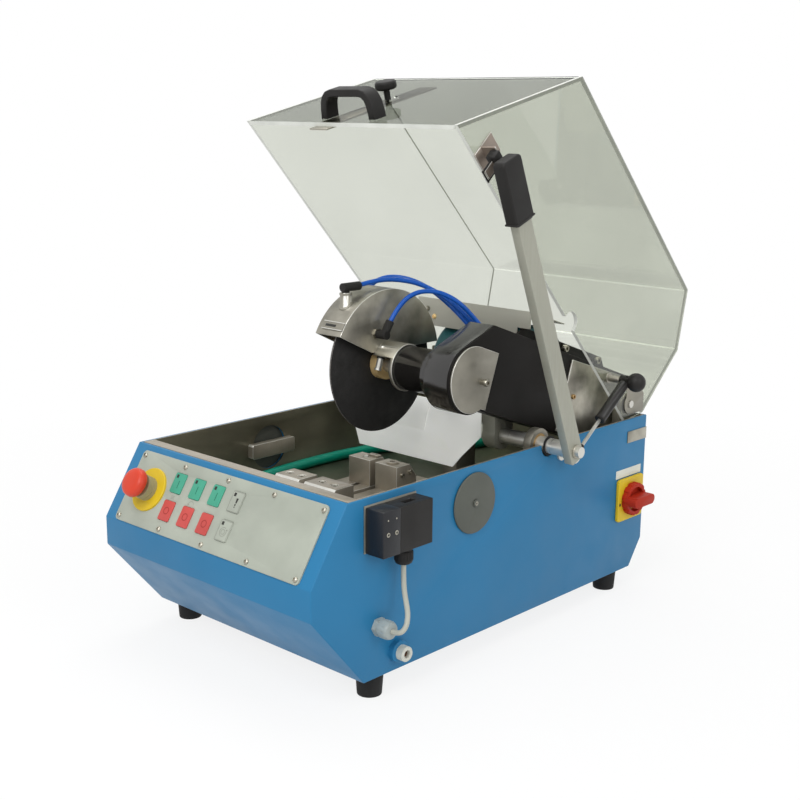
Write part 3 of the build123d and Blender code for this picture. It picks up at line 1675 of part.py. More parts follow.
with BuildPart() as strut_tube:
    with BuildSketch(Plane(origin=strut_foot + strut_axis * strut_tube_start, z_dir=strut_axis)):
        Circle(strut_tube_radius)
    extrude(amount=strut_tube_end - strut_tube_start)
    with BuildSketch(Plane(origin=strut_foot + strut_axis * strut_tube_start, z_dir=strut_axis)):
        Circle(strut_rod_radius + running_fit)
    extrude(amount=strut_bore_end - strut_tube_start, mode=Mode.SUBTRACT)
    with BuildSketch(strut_plane(socket_left)):
        with Locations((strut_reach, 0)):
            Circle(strut_socket_radius)
    extrude(amount=strut_socket_width)
    with BuildSketch(strut_plane(knob_foot)):
        with Locations((strut_reach, 0)):
            Circle(strut_knob_neck)
    extrude(amount=strut_knob_reach)
    with Locations((knob_foot + strut_knob_reach, stud_y, stud_z)):
        Sphere(strut_knob_radius)
strut_tube.part.label = "strut_tube"
export_step(strut_tube.part, "parts/strut_tube.step")
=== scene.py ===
"""Looks of the metallographic cutting machine: finishes, softened edges, fasteners, cords and the stage."""

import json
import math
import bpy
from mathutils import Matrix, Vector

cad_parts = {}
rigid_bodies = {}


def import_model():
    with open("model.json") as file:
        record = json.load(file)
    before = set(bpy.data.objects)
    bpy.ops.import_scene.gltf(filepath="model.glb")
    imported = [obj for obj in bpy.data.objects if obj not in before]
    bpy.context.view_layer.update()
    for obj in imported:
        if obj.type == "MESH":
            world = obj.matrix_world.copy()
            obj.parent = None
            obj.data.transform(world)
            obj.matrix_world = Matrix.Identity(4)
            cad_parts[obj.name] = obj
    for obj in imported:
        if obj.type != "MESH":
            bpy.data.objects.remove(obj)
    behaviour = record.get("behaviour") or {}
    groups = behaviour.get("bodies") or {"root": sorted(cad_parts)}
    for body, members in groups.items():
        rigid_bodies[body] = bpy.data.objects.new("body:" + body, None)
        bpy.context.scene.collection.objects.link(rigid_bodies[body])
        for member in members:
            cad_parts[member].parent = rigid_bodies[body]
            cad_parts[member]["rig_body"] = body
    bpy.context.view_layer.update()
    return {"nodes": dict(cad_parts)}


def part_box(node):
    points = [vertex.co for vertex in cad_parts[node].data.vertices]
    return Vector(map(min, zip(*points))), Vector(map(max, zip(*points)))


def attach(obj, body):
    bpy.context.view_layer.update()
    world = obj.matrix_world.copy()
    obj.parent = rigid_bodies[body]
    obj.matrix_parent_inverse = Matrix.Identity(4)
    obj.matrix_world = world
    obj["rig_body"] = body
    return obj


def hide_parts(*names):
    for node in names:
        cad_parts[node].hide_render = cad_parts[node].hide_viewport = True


bl_info = {
    "name": "Metallographic Cutting Machine",
    "version": (1, 0, 0),
    "blender": (4, 5, 0),
    "location": "View3D > Sidebar > Cutter",
    "description": "Dresses the packed cutting machine with finishes, fasteners, cords and a stage",
    "category": "Object",
}

import bmesh
import bpy
from bpy.props import FloatProperty, FloatVectorProperty, PointerProperty
from mathutils import Matrix, Vector

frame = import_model()

MM = 0.001
WELD = 1e-6
FLAT = math.radians(0.4)
SHARP = math.radians(32)
SMOOTH = math.radians(38)

# Parts of a unit normal along an axis: of a face turned to the axis, and of one square to it
TURNED = 0.5
SQUARE = 0.9

RIGHT = Vector((1, 0, 0))
BACK = Vector((0, 1, 0))
UP = Vector((0, 0, 1))


def box_of(node):
    """Low and high corners of a CAD node's box, in millimetres."""
    return [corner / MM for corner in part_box(node)]


# Places that the pieces share, in millimetres and radians
WALL_X = box_of("base_shell")[1].x
BASE_TOP = box_of("base_shell")[1].z
COVER_X = box_of("arm_covers")[1].x
PANEL_HEAD = Vector((0, -291, BASE_TOP))
PANEL_UP = Vector((0, 54, 85)).normalized()
PANEL_OUT = RIGHT.cross(PANEL_UP)
PANEL_SHEET = 2.0
KEY_TOP = 3.0
KEY_X = (-80.0, -44.5, -9.0, 26.5)
KEY_DROP = (-35.0, -70.3)
ESTOP_X = -125.0
ESTOP_DROP = -53.0
SPINDLE = Vector((0, -48.5, 337.5))
PIVOT_Y = 66.0
PIVOT_Z = 241.0
LEVER_LEAN = math.radians(22.1)
HOOD_LIFT = math.radians(13.81)
HOOD_FOOT = Vector((0, -112.9, 637))
HOOD_UP = Vector((0, math.cos(HOOD_LIFT), math.sin(HOOD_LIFT)))
HOOD_OUT = RIGHT.cross(HOOD_UP)
HOOD_OPEN = math.radians(47.6)
HINGE = Vector((0, 260, 262))
KEY_FOOT = Vector((WALL_X + 14, -211, 244.5))
STRUT_FOOT = Vector((207, 92, 225))
STRUT_WAY = (Vector((207, 203.5, 307)) - STRUT_FOOT).normalized()
BOSS = Vector((-7, -103.5, 432.18))
NOZZLE = Vector((19, -72.7, 333.5))
NOZZLE_LEAN = math.radians(19.3)
NOZZLE_WAY = Vector((0, math.sin(NOZZLE_LEAN), math.cos(NOZZLE_LEAN)))
MAIN_SWITCH_Y = 254.0
MAIN_SWITCH_Z = 132.0


def colour(name, description, value):
    """A colour that a user may change, in linear light."""
    return FloatVectorProperty(
        name=name, description=description, subtype="COLOR", size=3, min=0.0, max=1.0, default=value
    )


def length(name, description, value):
    """A size that a user may change, in metres."""
    return FloatProperty(
        name=name, description=description, unit="LENGTH", subtype="DISTANCE", min=0.0, default=value
    )


class CutterColours(bpy.types.PropertyGroup):
    """Base colours of the finishes."""

    casing: colour("Casing", "Blue enamel of the base casing", (0.020, 0.170, 0.345))
    panel: colour("Panel", "Grey film of the control panel", (0.37, 0.395, 0.335))
    green: colour("Green keys", "Film over the start keys", (0.06, 0.33, 0.22))
    red: colour("Red keys", "Film over the stop keys", (0.52, 0.075, 0.065))
    yellow: colour("Yellow", "Emergency stop disc and main switch plate", (0.64, 0.45, 0.018))
    stop_red: colour("Stop red", "Emergency stop head", (0.60, 0.05, 0.022))
    dial_red: colour("Dial red", "Main switch dial", (0.40, 0.024, 0.009))
    collar: colour("Collar", "Beige collar of the emergency stop", (0.30, 0.27, 0.15))
    black_plastic: colour("Black plastic", "Switch, grips, knobs and fittings", (0.016, 0.015, 0.014))
    arm: colour("Arm", "Black enamel of the cutting arm", (0.011, 0.010, 0.009))
    motor: colour("Motor", "Teal enamel of the motor", (0.012, 0.085, 0.095))
    grey_cover: colour("Grey covers", "Port discs", (0.088, 0.094, 0.08))
    gland: colour("Grey gland", "Cable gland in the wall", (0.34, 0.38, 0.37))
    cable: colour("Cable", "Sheath of the switch cable", (0.44, 0.44, 0.375))
    hose_blue: colour("Coolant hose", "Blue coolant hoses", (0.005, 0.085, 0.42))
    hose_green: colour("Flush hose", "Green hose in the tub", (0.0, 0.22, 0.145))
    rubber: colour("Rubber", "Feet and drive belt", (0.014, 0.014, 0.014))
    abrasive: colour("Abrasive", "Bonded cutting wheel", (0.0075, 0.007, 0.0065))
    stainless: colour("Stainless", "Sheet steel of the covers and fittings", (0.40, 0.38, 0.32))
    tub: colour("Tub", "Stained sheet steel of the tub", (0.21, 0.195, 0.138))
    table: colour("Table", "Machined steel of the table and jaws", (0.34, 0.305, 0.245))
    # Also the base of the painted highlights on rounded edges
    bright: colour("Bright steel", "Ground and machined steel", (0.66, 0.65, 0.60))
    aluminium: colour("Aluminium", "Lever and arm bracket", (0.36, 0.36, 0.30))
    brass: colour("Brass", "Wheel flanges and tails", (0.95, 0.68, 0.32))
    acrylic: colour("Acrylic", "Clear hood", (0.69, 0.71, 0.645))
    # Darker than the other panels: a painted reflection of the room on the hood's front panel
    acrylic_top: colour("Acrylic top", "Front panel of the hood", (0.42, 0.435, 0.40))
    acrylic_edge: colour("Acrylic edges", "Sawn edges of the hood", (0.52, 0.53, 0.49))
    backdrop: colour("Floor", "Pale studio floor", (0.86, 0.86, 0.85))


class CutterSizes(bpy.types.PropertyGroup):
    """Sizes of the small pieces that the CAD leaves out."""

    panel_screw: length("Panel screw", "Head radius of the panel's screws", 0.0034)
    cap_screw: length("Cap screw", "Head radius of the cap screws on the arm and jaws", 0.0045)
    small_screw: length("Small screw", "Head radius of the switch's screws", 0.0026)
    casing_bend: length("Casing bend", "Outer radius of the casing's folds", 0.0022)
    floor_half: length("Floor", "Half the width of the studio floor", 6.0)


def place(origin, z_dir=UP, x_dir=RIGHT):
    """Local frame at a point in millimetres."""
    x_axis = Vector(x_dir).normalized()
    z_axis = Vector(z_dir).normalized()
    matrix = Matrix((x_axis, z_axis.cross(x_axis), z_axis)).transposed().to_4x4()
    matrix.translation = Vector(origin) * MM
    return matrix


def panel_at(x, along, height):
    """Frame on the sloped control front: local Y up the slope, local Z out of it."""
    return place(PANEL_HEAD + RIGHT * x + PANEL_UP * along + PANEL_OUT * height, PANEL_OUT)


def wall_at(y, z, out=0.0):
    """Frame on the right wall: local X to the rear, local Y up, local Z out."""
    return place((WALL_X + out, y, z), RIGHT, BACK)


def strut_at(along):
    """Frame on the gas strut, with local Z from its foot to its head."""
    return place(STRUT_FOOT + STRUT_WAY * along, STRUT_WAY)


def shifted(at, x, y, z):
    """A frame moved in its own directions."""
    return at @ Matrix.Translation(Vector((x, y, z)) * MM)


def body_of(node):
    """Name of the body that carries a CAD node."""
    return frame["nodes"][node]["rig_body"]


def linked(name, data):
    """A new object in the scene."""
    item = bpy.data.objects.new(name, data)
    bpy.context.scene.collection.objects.link(item)
    return item


def arc_outline(radius, width, start, end, steps=20):
    """Outline of a bent strip round the origin between two turns in degrees."""
    turns = [math.radians(start + (end - start) * step / steps) for step in range(steps + 1)]
    rims = ((radius, turns), (radius - width, turns[::-1]))
    return [(rim * math.cos(turn), rim * math.sin(turn)) for rim, way in rims for turn in way]


def set_inputs(tree, node, inputs):
    """Set or link a node's inputs by name or number."""
    for name, value in inputs.items():
        if isinstance(value, bpy.types.NodeSocket):
            tree.links.new(value, node.inputs[name])
        else:
            node.inputs[name].default_value = value


def add_node(tree, kind, inputs=None, **settings):
    """A node with its settings made and its inputs set."""
    node = tree.nodes.new(kind)
    for name, value in settings.items():
        setattr(node, name, value)
    set_inputs(tree, node, inputs or {})
    return node


def output_of(tree, kind, inputs=None, **settings):
    """First output of a new node."""
    return add_node(tree, kind, inputs, **settings).outputs[0]


def times(tree, source, share):
    """A value times a share."""
    return output_of(tree, "ShaderNodeMath", {0: source, 1: share}, operation="MULTIPLY")


def lifted(tree, mesh, height):
    """A mesh moved up by a length."""
    shift = output_of(tree, "ShaderNodeCombineXYZ", {"Z": height})
    return output_of(tree, "GeometryNodeTransform", {"Geometry": mesh, "Translation": shift})


def cylinder(tree, sides, radius, depth):
    """A cylinder about the origin."""
    return output_of(tree, "GeometryNodeMeshCylinder", {"Vertices": sides, "Radius": radius, "Depth": depth})


def boolean(tree, operation, forms, inputs=None):
    """Forms joined, or taken from the first mesh that the inputs give."""
    node = add_node(tree, "GeometryNodeMeshBoolean", inputs, operation=operation, solver="EXACT")
    for form in forms:
        tree.links.new(form, node.inputs["Mesh 2"])
    return node.outputs[0]


def new_tree(name, inputs):
    """A geometry node tree, and what its named inputs give."""
    tree = bpy.data.node_groups.new(name, "GeometryNodeTree")
    for label, kind in inputs.items():
        tree.interface.new_socket(label, in_out="INPUT", socket_type="NodeSocket" + kind)
    tree.interface.new_socket("Form", in_out="OUTPUT", socket_type="NodeSocketGeometry")
    return tree, tree.nodes.new("NodeGroupInput").outputs


def repeated(tree, given, points, form, axis, way):
    """Close a tree: the form on each point, with an axis turned one way, in its finish."""
    turn = output_of(tree, "FunctionNodeAlignRotationToVector", {"Vector": way}, axis=axis)
    copies = {"Points": points, "Instance": form, "Rotation": turn}
    real = output_of(tree, "GeometryNodeRealizeInstances", {
        "Geometry": output_of(tree, "GeometryNodeInstanceOnPoints", copies),
    })
    painted = output_of(tree, "GeometryNodeSetMaterial", {"Geometry": real, "Material": given["Finish"]})
    add_node(tree, "NodeGroupOutput", {"Form": painted})
    return tree


def screw_tree(name):
    """Button or cap screw heads with hexagon sockets on points that say which way they face."""
    tree, given = new_tree(name, {
        "Points": "Geometry", "Head radius": "Float", "Head height": "Float", "Finish": "Material",
    })
    socket = 0.55
    sides = 28
    barrel_part = 0.88
    rim_part = 0.9
    radius = given["Head radius"]
    height = given["Head height"]
    cutters = [lifted(tree, cylinder(tree, 6, times(tree, radius, socket), height), height)]
    if name == "button_screws":
        ball = output_of(tree, "GeometryNodeMeshUVSphere", {"Segments": 20, "Rings": 12, "Radius": 1.0})
        size = output_of(tree, "ShaderNodeCombineXYZ", {"X": radius, "Y": radius, "Z": height})
        head = output_of(tree, "GeometryNodeTransform", {"Geometry": ball, "Scale": size})
        below = cylinder(tree, 12, times(tree, radius, 2.0), times(tree, height, 2.0))
        cutters.append(lifted(tree, below, times(tree, height, -1.0)))
    else:
        barrel = cylinder(tree, sides, radius, times(tree, height, barrel_part))
        rim = output_of(tree, "GeometryNodeMeshCone", {
            "Vertices": sides, "Radius Top": times(tree, radius, rim_part), "Radius Bottom": radius,
            "Depth": times(tree, height, 1 - barrel_part),
        })
        low = lifted(tree, barrel, times(tree, height, barrel_part / 2))
        high = lifted(tree, rim, times(tree, height, barrel_part))
        head = boolean(tree, "UNION", [low, high])
    cut = boolean(tree, "DIFFERENCE", cutters, {"Mesh 1": head})
    way = output_of(tree, "GeometryNodeInputNamedAttribute", {"Name": "facing"}, data_type="FLOAT_VECTOR")
    return repeated(tree, given, given["Points"], cut, "Z", way)


def bar_tree(name):
    """Bars set round a circle, each pointing away from its centre."""
    tree, given = new_tree(name, {
        "Geometry": "Geometry", "Count": "Int", "Ring radius": "Float", "Bar size": "Vector",
        "Finish": "Material",
    })
    ring = {"Vertices": given["Count"], "Radius": given["Ring radius"]}
    points = output_of(tree, "GeometryNodeMeshCircle", ring)
    bar = output_of(tree, "GeometryNodeMeshCube", {"Size": given["Bar size"]})
    return repeated(tree, given, points, bar, "X", output_of(tree, "GeometryNodeInputPosition"))


def grown(maker, name, look, sizes, spots=(), facing=UP):
    """Plain mesh of what a node tree makes on spots in millimetres that all face one way."""
    tree = bpy.data.node_groups.get(name) or maker(name)
    seed = bpy.data.meshes.new("seed")
    seed.from_pydata([Vector(spot) * MM for spot in spots], [], [])
    for item in seed.attributes.new("facing", "FLOAT_VECTOR", "POINT").data:
        item.vector = facing
    carrier = linked("carrier", seed)
    modifier = carrier.modifiers.new("nodes", "NODES")
    modifier.node_group = tree
    sockets = {item.name: item.identifier for item in tree.interface.items_tree if item.in_out == "INPUT"}
    for label, value in {"Finish": finish(look), **sizes}.items():
        modifier[sockets[label]] = value
    shown = carrier.evaluated_get(bpy.context.evaluated_depsgraph_get())
    mesh = bpy.data.meshes.new_from_object(shown)
    carrier.modifiers.remove(modifier)
    bpy.data.objects.remove(carrier)
    bpy.data.meshes.remove(seed)
    return mesh


def cad_form(node, left_out=None):
    """A CAD node's form with its flat faces whole, less the corners that are left out."""
    form = bmesh.new()
    form.from_mesh(frame["nodes"][node].data)
    bmesh.ops.remove_doubles(form, verts=form.verts, dist=WELD)
    if left_out:
        gone = [vert for vert in form.verts if left_out(vert.co / MM)]
        bmesh.ops.delete(form, geom=gone, context="VERTS")
    bmesh.ops.dissolve_limit(form, angle_limit=FLAT, verts=form.verts, edges=form.edges)
    return form


def rounded(form, edges, width, segments):
    """Round some edges of a form, where a width is given."""
    if width:
        bmesh.ops.bevel(
            form, geom=edges, offset=width * MM, segments=segments, profile=0.5, affect="EDGES",
            clamp_overlap=True,
        )


class Shape:
    """One piece in the making. Its forms are in millimetres, each with a look, the name of its finish."""

    def __init__(self, node=None, look=None, width=0.0, segments=2, sort=None, left_out=None):
        """A piece of its own, or one that stands for a CAD node and may start as its softened form."""
        self.bm = bmesh.new()
        self.looks = []
        self.node = node
        if look:
            form = cad_form(node, left_out)
            edges = [
                edge for edge in form.edges
                if len(edge.link_faces) == 2 and edge.is_convex and edge.calc_face_angle() > SHARP
            ]
            rounded(form, edges, width, segments)
            form.normal_update()
            self.add(form, look, sort=sort)

    def index(self, look):
        """Number of a look among the piece's own."""
        if look not in self.looks:
            self.looks.append(look)
        return self.looks.index(look)

    def take(self, mesh, look, sort=None):
        """Take in a mesh. Where sort is given, it may pick a face's look from its centre and normal."""
        before = set(self.bm.faces)
        self.bm.from_mesh(mesh)
        bpy.data.meshes.remove(mesh)
        base = self.index(look)
        for face in [face for face in self.bm.faces if face not in before]:
            chosen = sort and sort(face.calc_center_median() / MM, face.normal)
            face.material_index = self.index(chosen) if chosen else base

    def add(self, form, look, at=None, sort=None):
        """Take in another bmesh. A form that gets a place is closed, and its faces turn outwards."""
        if at is not None:
            bmesh.ops.recalc_face_normals(form, faces=form.faces)
            form.transform(at)
        scratch = bpy.data.meshes.new("scratch")
        form.to_mesh(scratch)
        form.free()
        self.take(scratch, look, sort)

    def turned(self, at, profile, look, segments=48):
        """A form turned round local Z from (radius, height) points, joined end to end off the axis."""
        closed = len(profile) > 2 and profile[0][0] > 0
        form = bmesh.new()
        rings = []
        for radius, height in profile:
            count = segments if radius > WELD else 1
            turns = [math.tau * step / count for step in range(count)]
            spots = [(radius * math.cos(turn), radius * math.sin(turn), height) for turn in turns]
            rings.append([form.verts.new(Vector(spot) * MM) for spot in spots])
        if closed:
            rings.append(rings[0])
        for low, high in zip(rings, rings[1:]):
            for step in range(segments):
                after = (step + 1) % segments
                spots = ((low, step), (low, after), (high, after), (high, step))
                unique = list(dict.fromkeys(ring[turn % len(ring)] for ring, turn in spots))
                if len(unique) > 2:
                    form.faces.new(unique)
        for ring in (rings[0], rings[-1]):
            if len(ring) > 1 and not closed:
                form.faces.new(ring)
        self.add(form, look, at)

    def ring(self, at, inner, outer, height, look, segments=48):
        """A flat ring that stands on the local XY plane."""
        profile = [(inner, 0), (outer, 0), (outer, height), (inner, height)]
        self.turned(at, profile, look, segments)

    def rod(self, at, radius, height, look, segments):
        """A round bar or disc that stands on the local XY plane."""
        self.turned(at, [(radius, 0), (radius, height)], look, segments)

    def block(self, at, size, look, edge=0.0):
        """A box about the local origin with rounded edges."""
        form = bmesh.new()
        bmesh.ops.create_cube(form, size=MM)
        bmesh.ops.scale(form, vec=size, verts=form.verts)
        rounded(form, form.edges[:], edge, segments=2)
        self.add(form, look, at)

    def plate(self, at, outline, depth, look, edge=0.0):
        """A plate with an outline in the local XY plane, raised along local Z, with rounded rims."""
        form = bmesh.new()
        face = form.faces.new([form.verts.new((x * MM, y * MM, 0)) for x, y in outline])
        raised = bmesh.ops.extrude_face_region(form, geom=[face])
        top = [item for item in raised["geom"] if isinstance(item, bmesh.types.BMVert)]
        bmesh.ops.translate(form, vec=(0, 0, depth * MM), verts=top)
        rims = [rim for rim in form.edges if abs(rim.verts[0].co.z - rim.verts[1].co.z) < WELD]
        rounded(form, rims, edge, segments=3)
        self.add(form, look, at)

    def screws(self, spots, facing, radius, height, look="screw_steel", kind="cap_screws"):
        """Screw heads at spots in millimetres, all facing one way. The radius is in metres."""
        sizes = {"Head radius": radius, "Head height": height * MM}
        self.take(grown(screw_tree, kind, look, sizes, spots, facing), look)

    def bars(self, at, count, radius, size, look):
        """Bars round the local Z axis, their size given outwards, round and along the axis."""
        sizes = {"Count": count, "Ring radius": radius * MM, "Bar size": Vector(size) * MM}
        mesh = grown(bar_tree, "bar_ring", look, sizes)
        mesh.transform(at)
        self.take(mesh, look)

    def done(self, name=None, body=None):
        """Make the object, let it ride on its body and stand for its CAD node."""
        name = name or self.node + "_piece"
        mesh = bpy.data.meshes.new(name)
        self.bm.to_mesh(mesh)
        self.bm.free()
        for look in self.looks:
            mesh.materials.append(finish(look))
        mesh.shade_smooth()
        mesh.set_sharp_from_angle(angle=SMOOTH)
        piece = linked(name, mesh)
        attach(piece, body or body_of(self.node))
        if self.node:
            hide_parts(self.node)


def painted_edge_highlights(centre, normal):
    """The rounded edges of a squared machined block get a lighter steel: a painted highlight."""
    flat = 0.985
    return "edge_steel" if max(abs(part) for part in normal) < flat else None


def softened(pieces):
    """Make a softened piece for each CAD node, from its look, width, segments and sort."""
    for node, how in pieces.items():
        Shape(node, *how).done()


def dressed(looks):
    """Give CAD nodes a finish and keep their forms."""
    for node, look in looks.items():
        mesh = frame["nodes"][node].data
        mesh.materials.clear()
        mesh.materials.append(finish(look))


def noise(tree, scale, detail=4.0, stretch=(1, 1, 1)):
    """Noise in the piece's own Object coordinates."""
    coords = tree.nodes.new("ShaderNodeTexCoord").outputs["Object"]
    mapped = output_of(tree, "ShaderNodeMapping", {"Vector": coords, "Scale": stretch})
    return output_of(tree, "ShaderNodeTexNoise", {"Vector": mapped, "Scale": scale, "Detail": detail})


def spread(tree, source, low, high, start=0.3, end=0.7):
    """A value, such as noise, taken from one range to another."""
    return output_of(tree, "ShaderNodeMapRange", {
        "Value": source, "From Min": start, "From Max": end, "To Min": low, "To Max": high,
    })


def tinted(tree, source, base, low, high):
    """The base colour between a darker and a lighter shade, by noise."""
    factor = spread(tree, source, low=0.0, high=1.0)
    node = add_node(tree, "ShaderNodeMix", {"Factor": factor}, data_type="RGBA")
    shades = [socket for socket in node.inputs if socket.type == "RGBA"]
    for shade, share in zip(shades, (low, high)):
        shade.default_value = [min(1.0, channel * share) for channel in base] + [1.0]
    return next(socket for socket in node.outputs if socket.type == "RGBA")


def node_of(tree, kind):
    """The tree's node of one type."""
    return next(node for node in tree.nodes if node.type == kind)


def new_material(name):
    """A material with its tree and its Principled shader."""
    material = bpy.data.materials.new(name)
    material.use_nodes = True
    return material, material.node_tree, node_of(material.node_tree, "BSDF_PRINCIPLED")


def covered(tree, share, over):
    """Lay another shader over the Principled one by a share."""
    under = node_of(tree, "BSDF_PRINCIPLED").outputs["BSDF"]
    mix = output_of(tree, "ShaderNodeMixShader", {"Fac": share, 1: under, 2: over})
    set_inputs(tree, node_of(tree, "OUTPUT_MATERIAL"), {"Surface": mix})


def coated(name, base, clouds, shades, smears, rough, relief, bump, inputs):
    """A material with clouds in its colour, smears in its roughness and a bumpy relief, each by noise."""
    material, tree, shader = new_material(name)
    bumps = {"Height": noise(tree, *relief), "Strength": bump[0], "Distance": bump[1]}
    set_inputs(tree, shader, {
        "Base Color": tinted(tree, noise(tree, *clouds), base, *shades),
        "Roughness": spread(tree, noise(tree, *smears), *rough),
        "Normal": output_of(tree, "ShaderNodeBump", bumps),
        **inputs,
    })
    return material


def enamel(name, base, rough, peel=0.06, shine=0.25):
    """Stove enamel: orange peel, faint clouding and handling marks."""
    return coated(
        name, base, clouds=(5.0,), shades=(0.92, 1.06), smears=(22.0,), rough=(rough - 0.05, rough + 0.07),
        relief=(900.0, 1.0), bump=(peel, 0.0004), inputs={"Specular IOR Level": shine},
    )


def metal(name, base, rough, grain=(1, 1, 40), shades=(0.85, 1.05), cloud=9.0, metallic=1.0, painted_glow=0.0):
    """Metal with brushing marks along one direction and smudges across it."""
    # A glow, where given, is painted light: the part is no lamp
    light = {"Metallic": metallic, "Emission Color": (*base, 1.0), "Emission Strength": painted_glow}
    return coated(
        name, base, clouds=(cloud, 5.0), shades=shades, smears=(14.0, 8.0, grain),
        rough=(rough - 0.1, rough + 0.12), relief=(160.0, 3.0, grain), bump=(0.08, 0.0002), inputs=light,
    )


def moulded(name, base, rough, texture=0.12, shine=0.28):
    """Moulded plastic with a fine spark-eroded grain and rubbed patches."""
    return coated(
        name, base, clouds=(18.0,), shades=(0.9, 1.08), smears=(40.0,), rough=(rough - 0.06, rough + 0.08),
        relief=(1500.0, 2.0), bump=(texture, 0.0002), inputs={"Specular IOR Level": shine},
    )


def bonded(name, base, dark, pale):
    """Bonded abrasive: coarse grit with paler grains."""
    return coated(
        name, base, clouds=(700.0, 6.0), shades=(dark, pale), smears=(60.0,), rough=(0.72, 0.95),
        relief=(1100.0, 5.0), bump=(0.5, 0.0005), inputs={},
    )


def clear(name, base, refraction=1.49):
    """Clear acrylic with faint waviness and hazy patches, which lets the lamps through."""
    material = coated(
        name, base, clouds=(6.0, 6.0), shades=(0.95, 1.02), smears=(12.0, 6.0), rough=(0.0, 0.02),
        relief=(7.0, 3.0), bump=(0.05, 0.002), inputs={"Transmission Weight": 1.0, "IOR": refraction},
    )
    tree = material.node_tree
    through = output_of(tree, "ShaderNodeBsdfTransparent", {"Color": (*base, 1.0)})
    covered(tree, tree.nodes.new("ShaderNodeLightPath").outputs["Is Shadow Ray"], through)
    return material


def frosted(name, base, painted_glow):
    """Sawn acrylic edge: milky, with saw marks and a painted glow for the light that the sheet leads to it.
    """
    return coated(
        name, base, clouds=(30.0,), shades=(0.88, 1.1), smears=(80.0,), rough=(0.3, 0.5), relief=(900.0, 2.0),
        bump=(0.15, 0.0002), inputs={"Emission Color": (*base, 1.0), "Emission Strength": painted_glow},
    )


# Directions of a metal's brushing marks, and the shades of a stained one
EVEN = (1, 1, 1)
ACROSS = (30, 1, 1)
ALONG = (1, 30, 1)
CLOUDY = (0.45, 1.25)

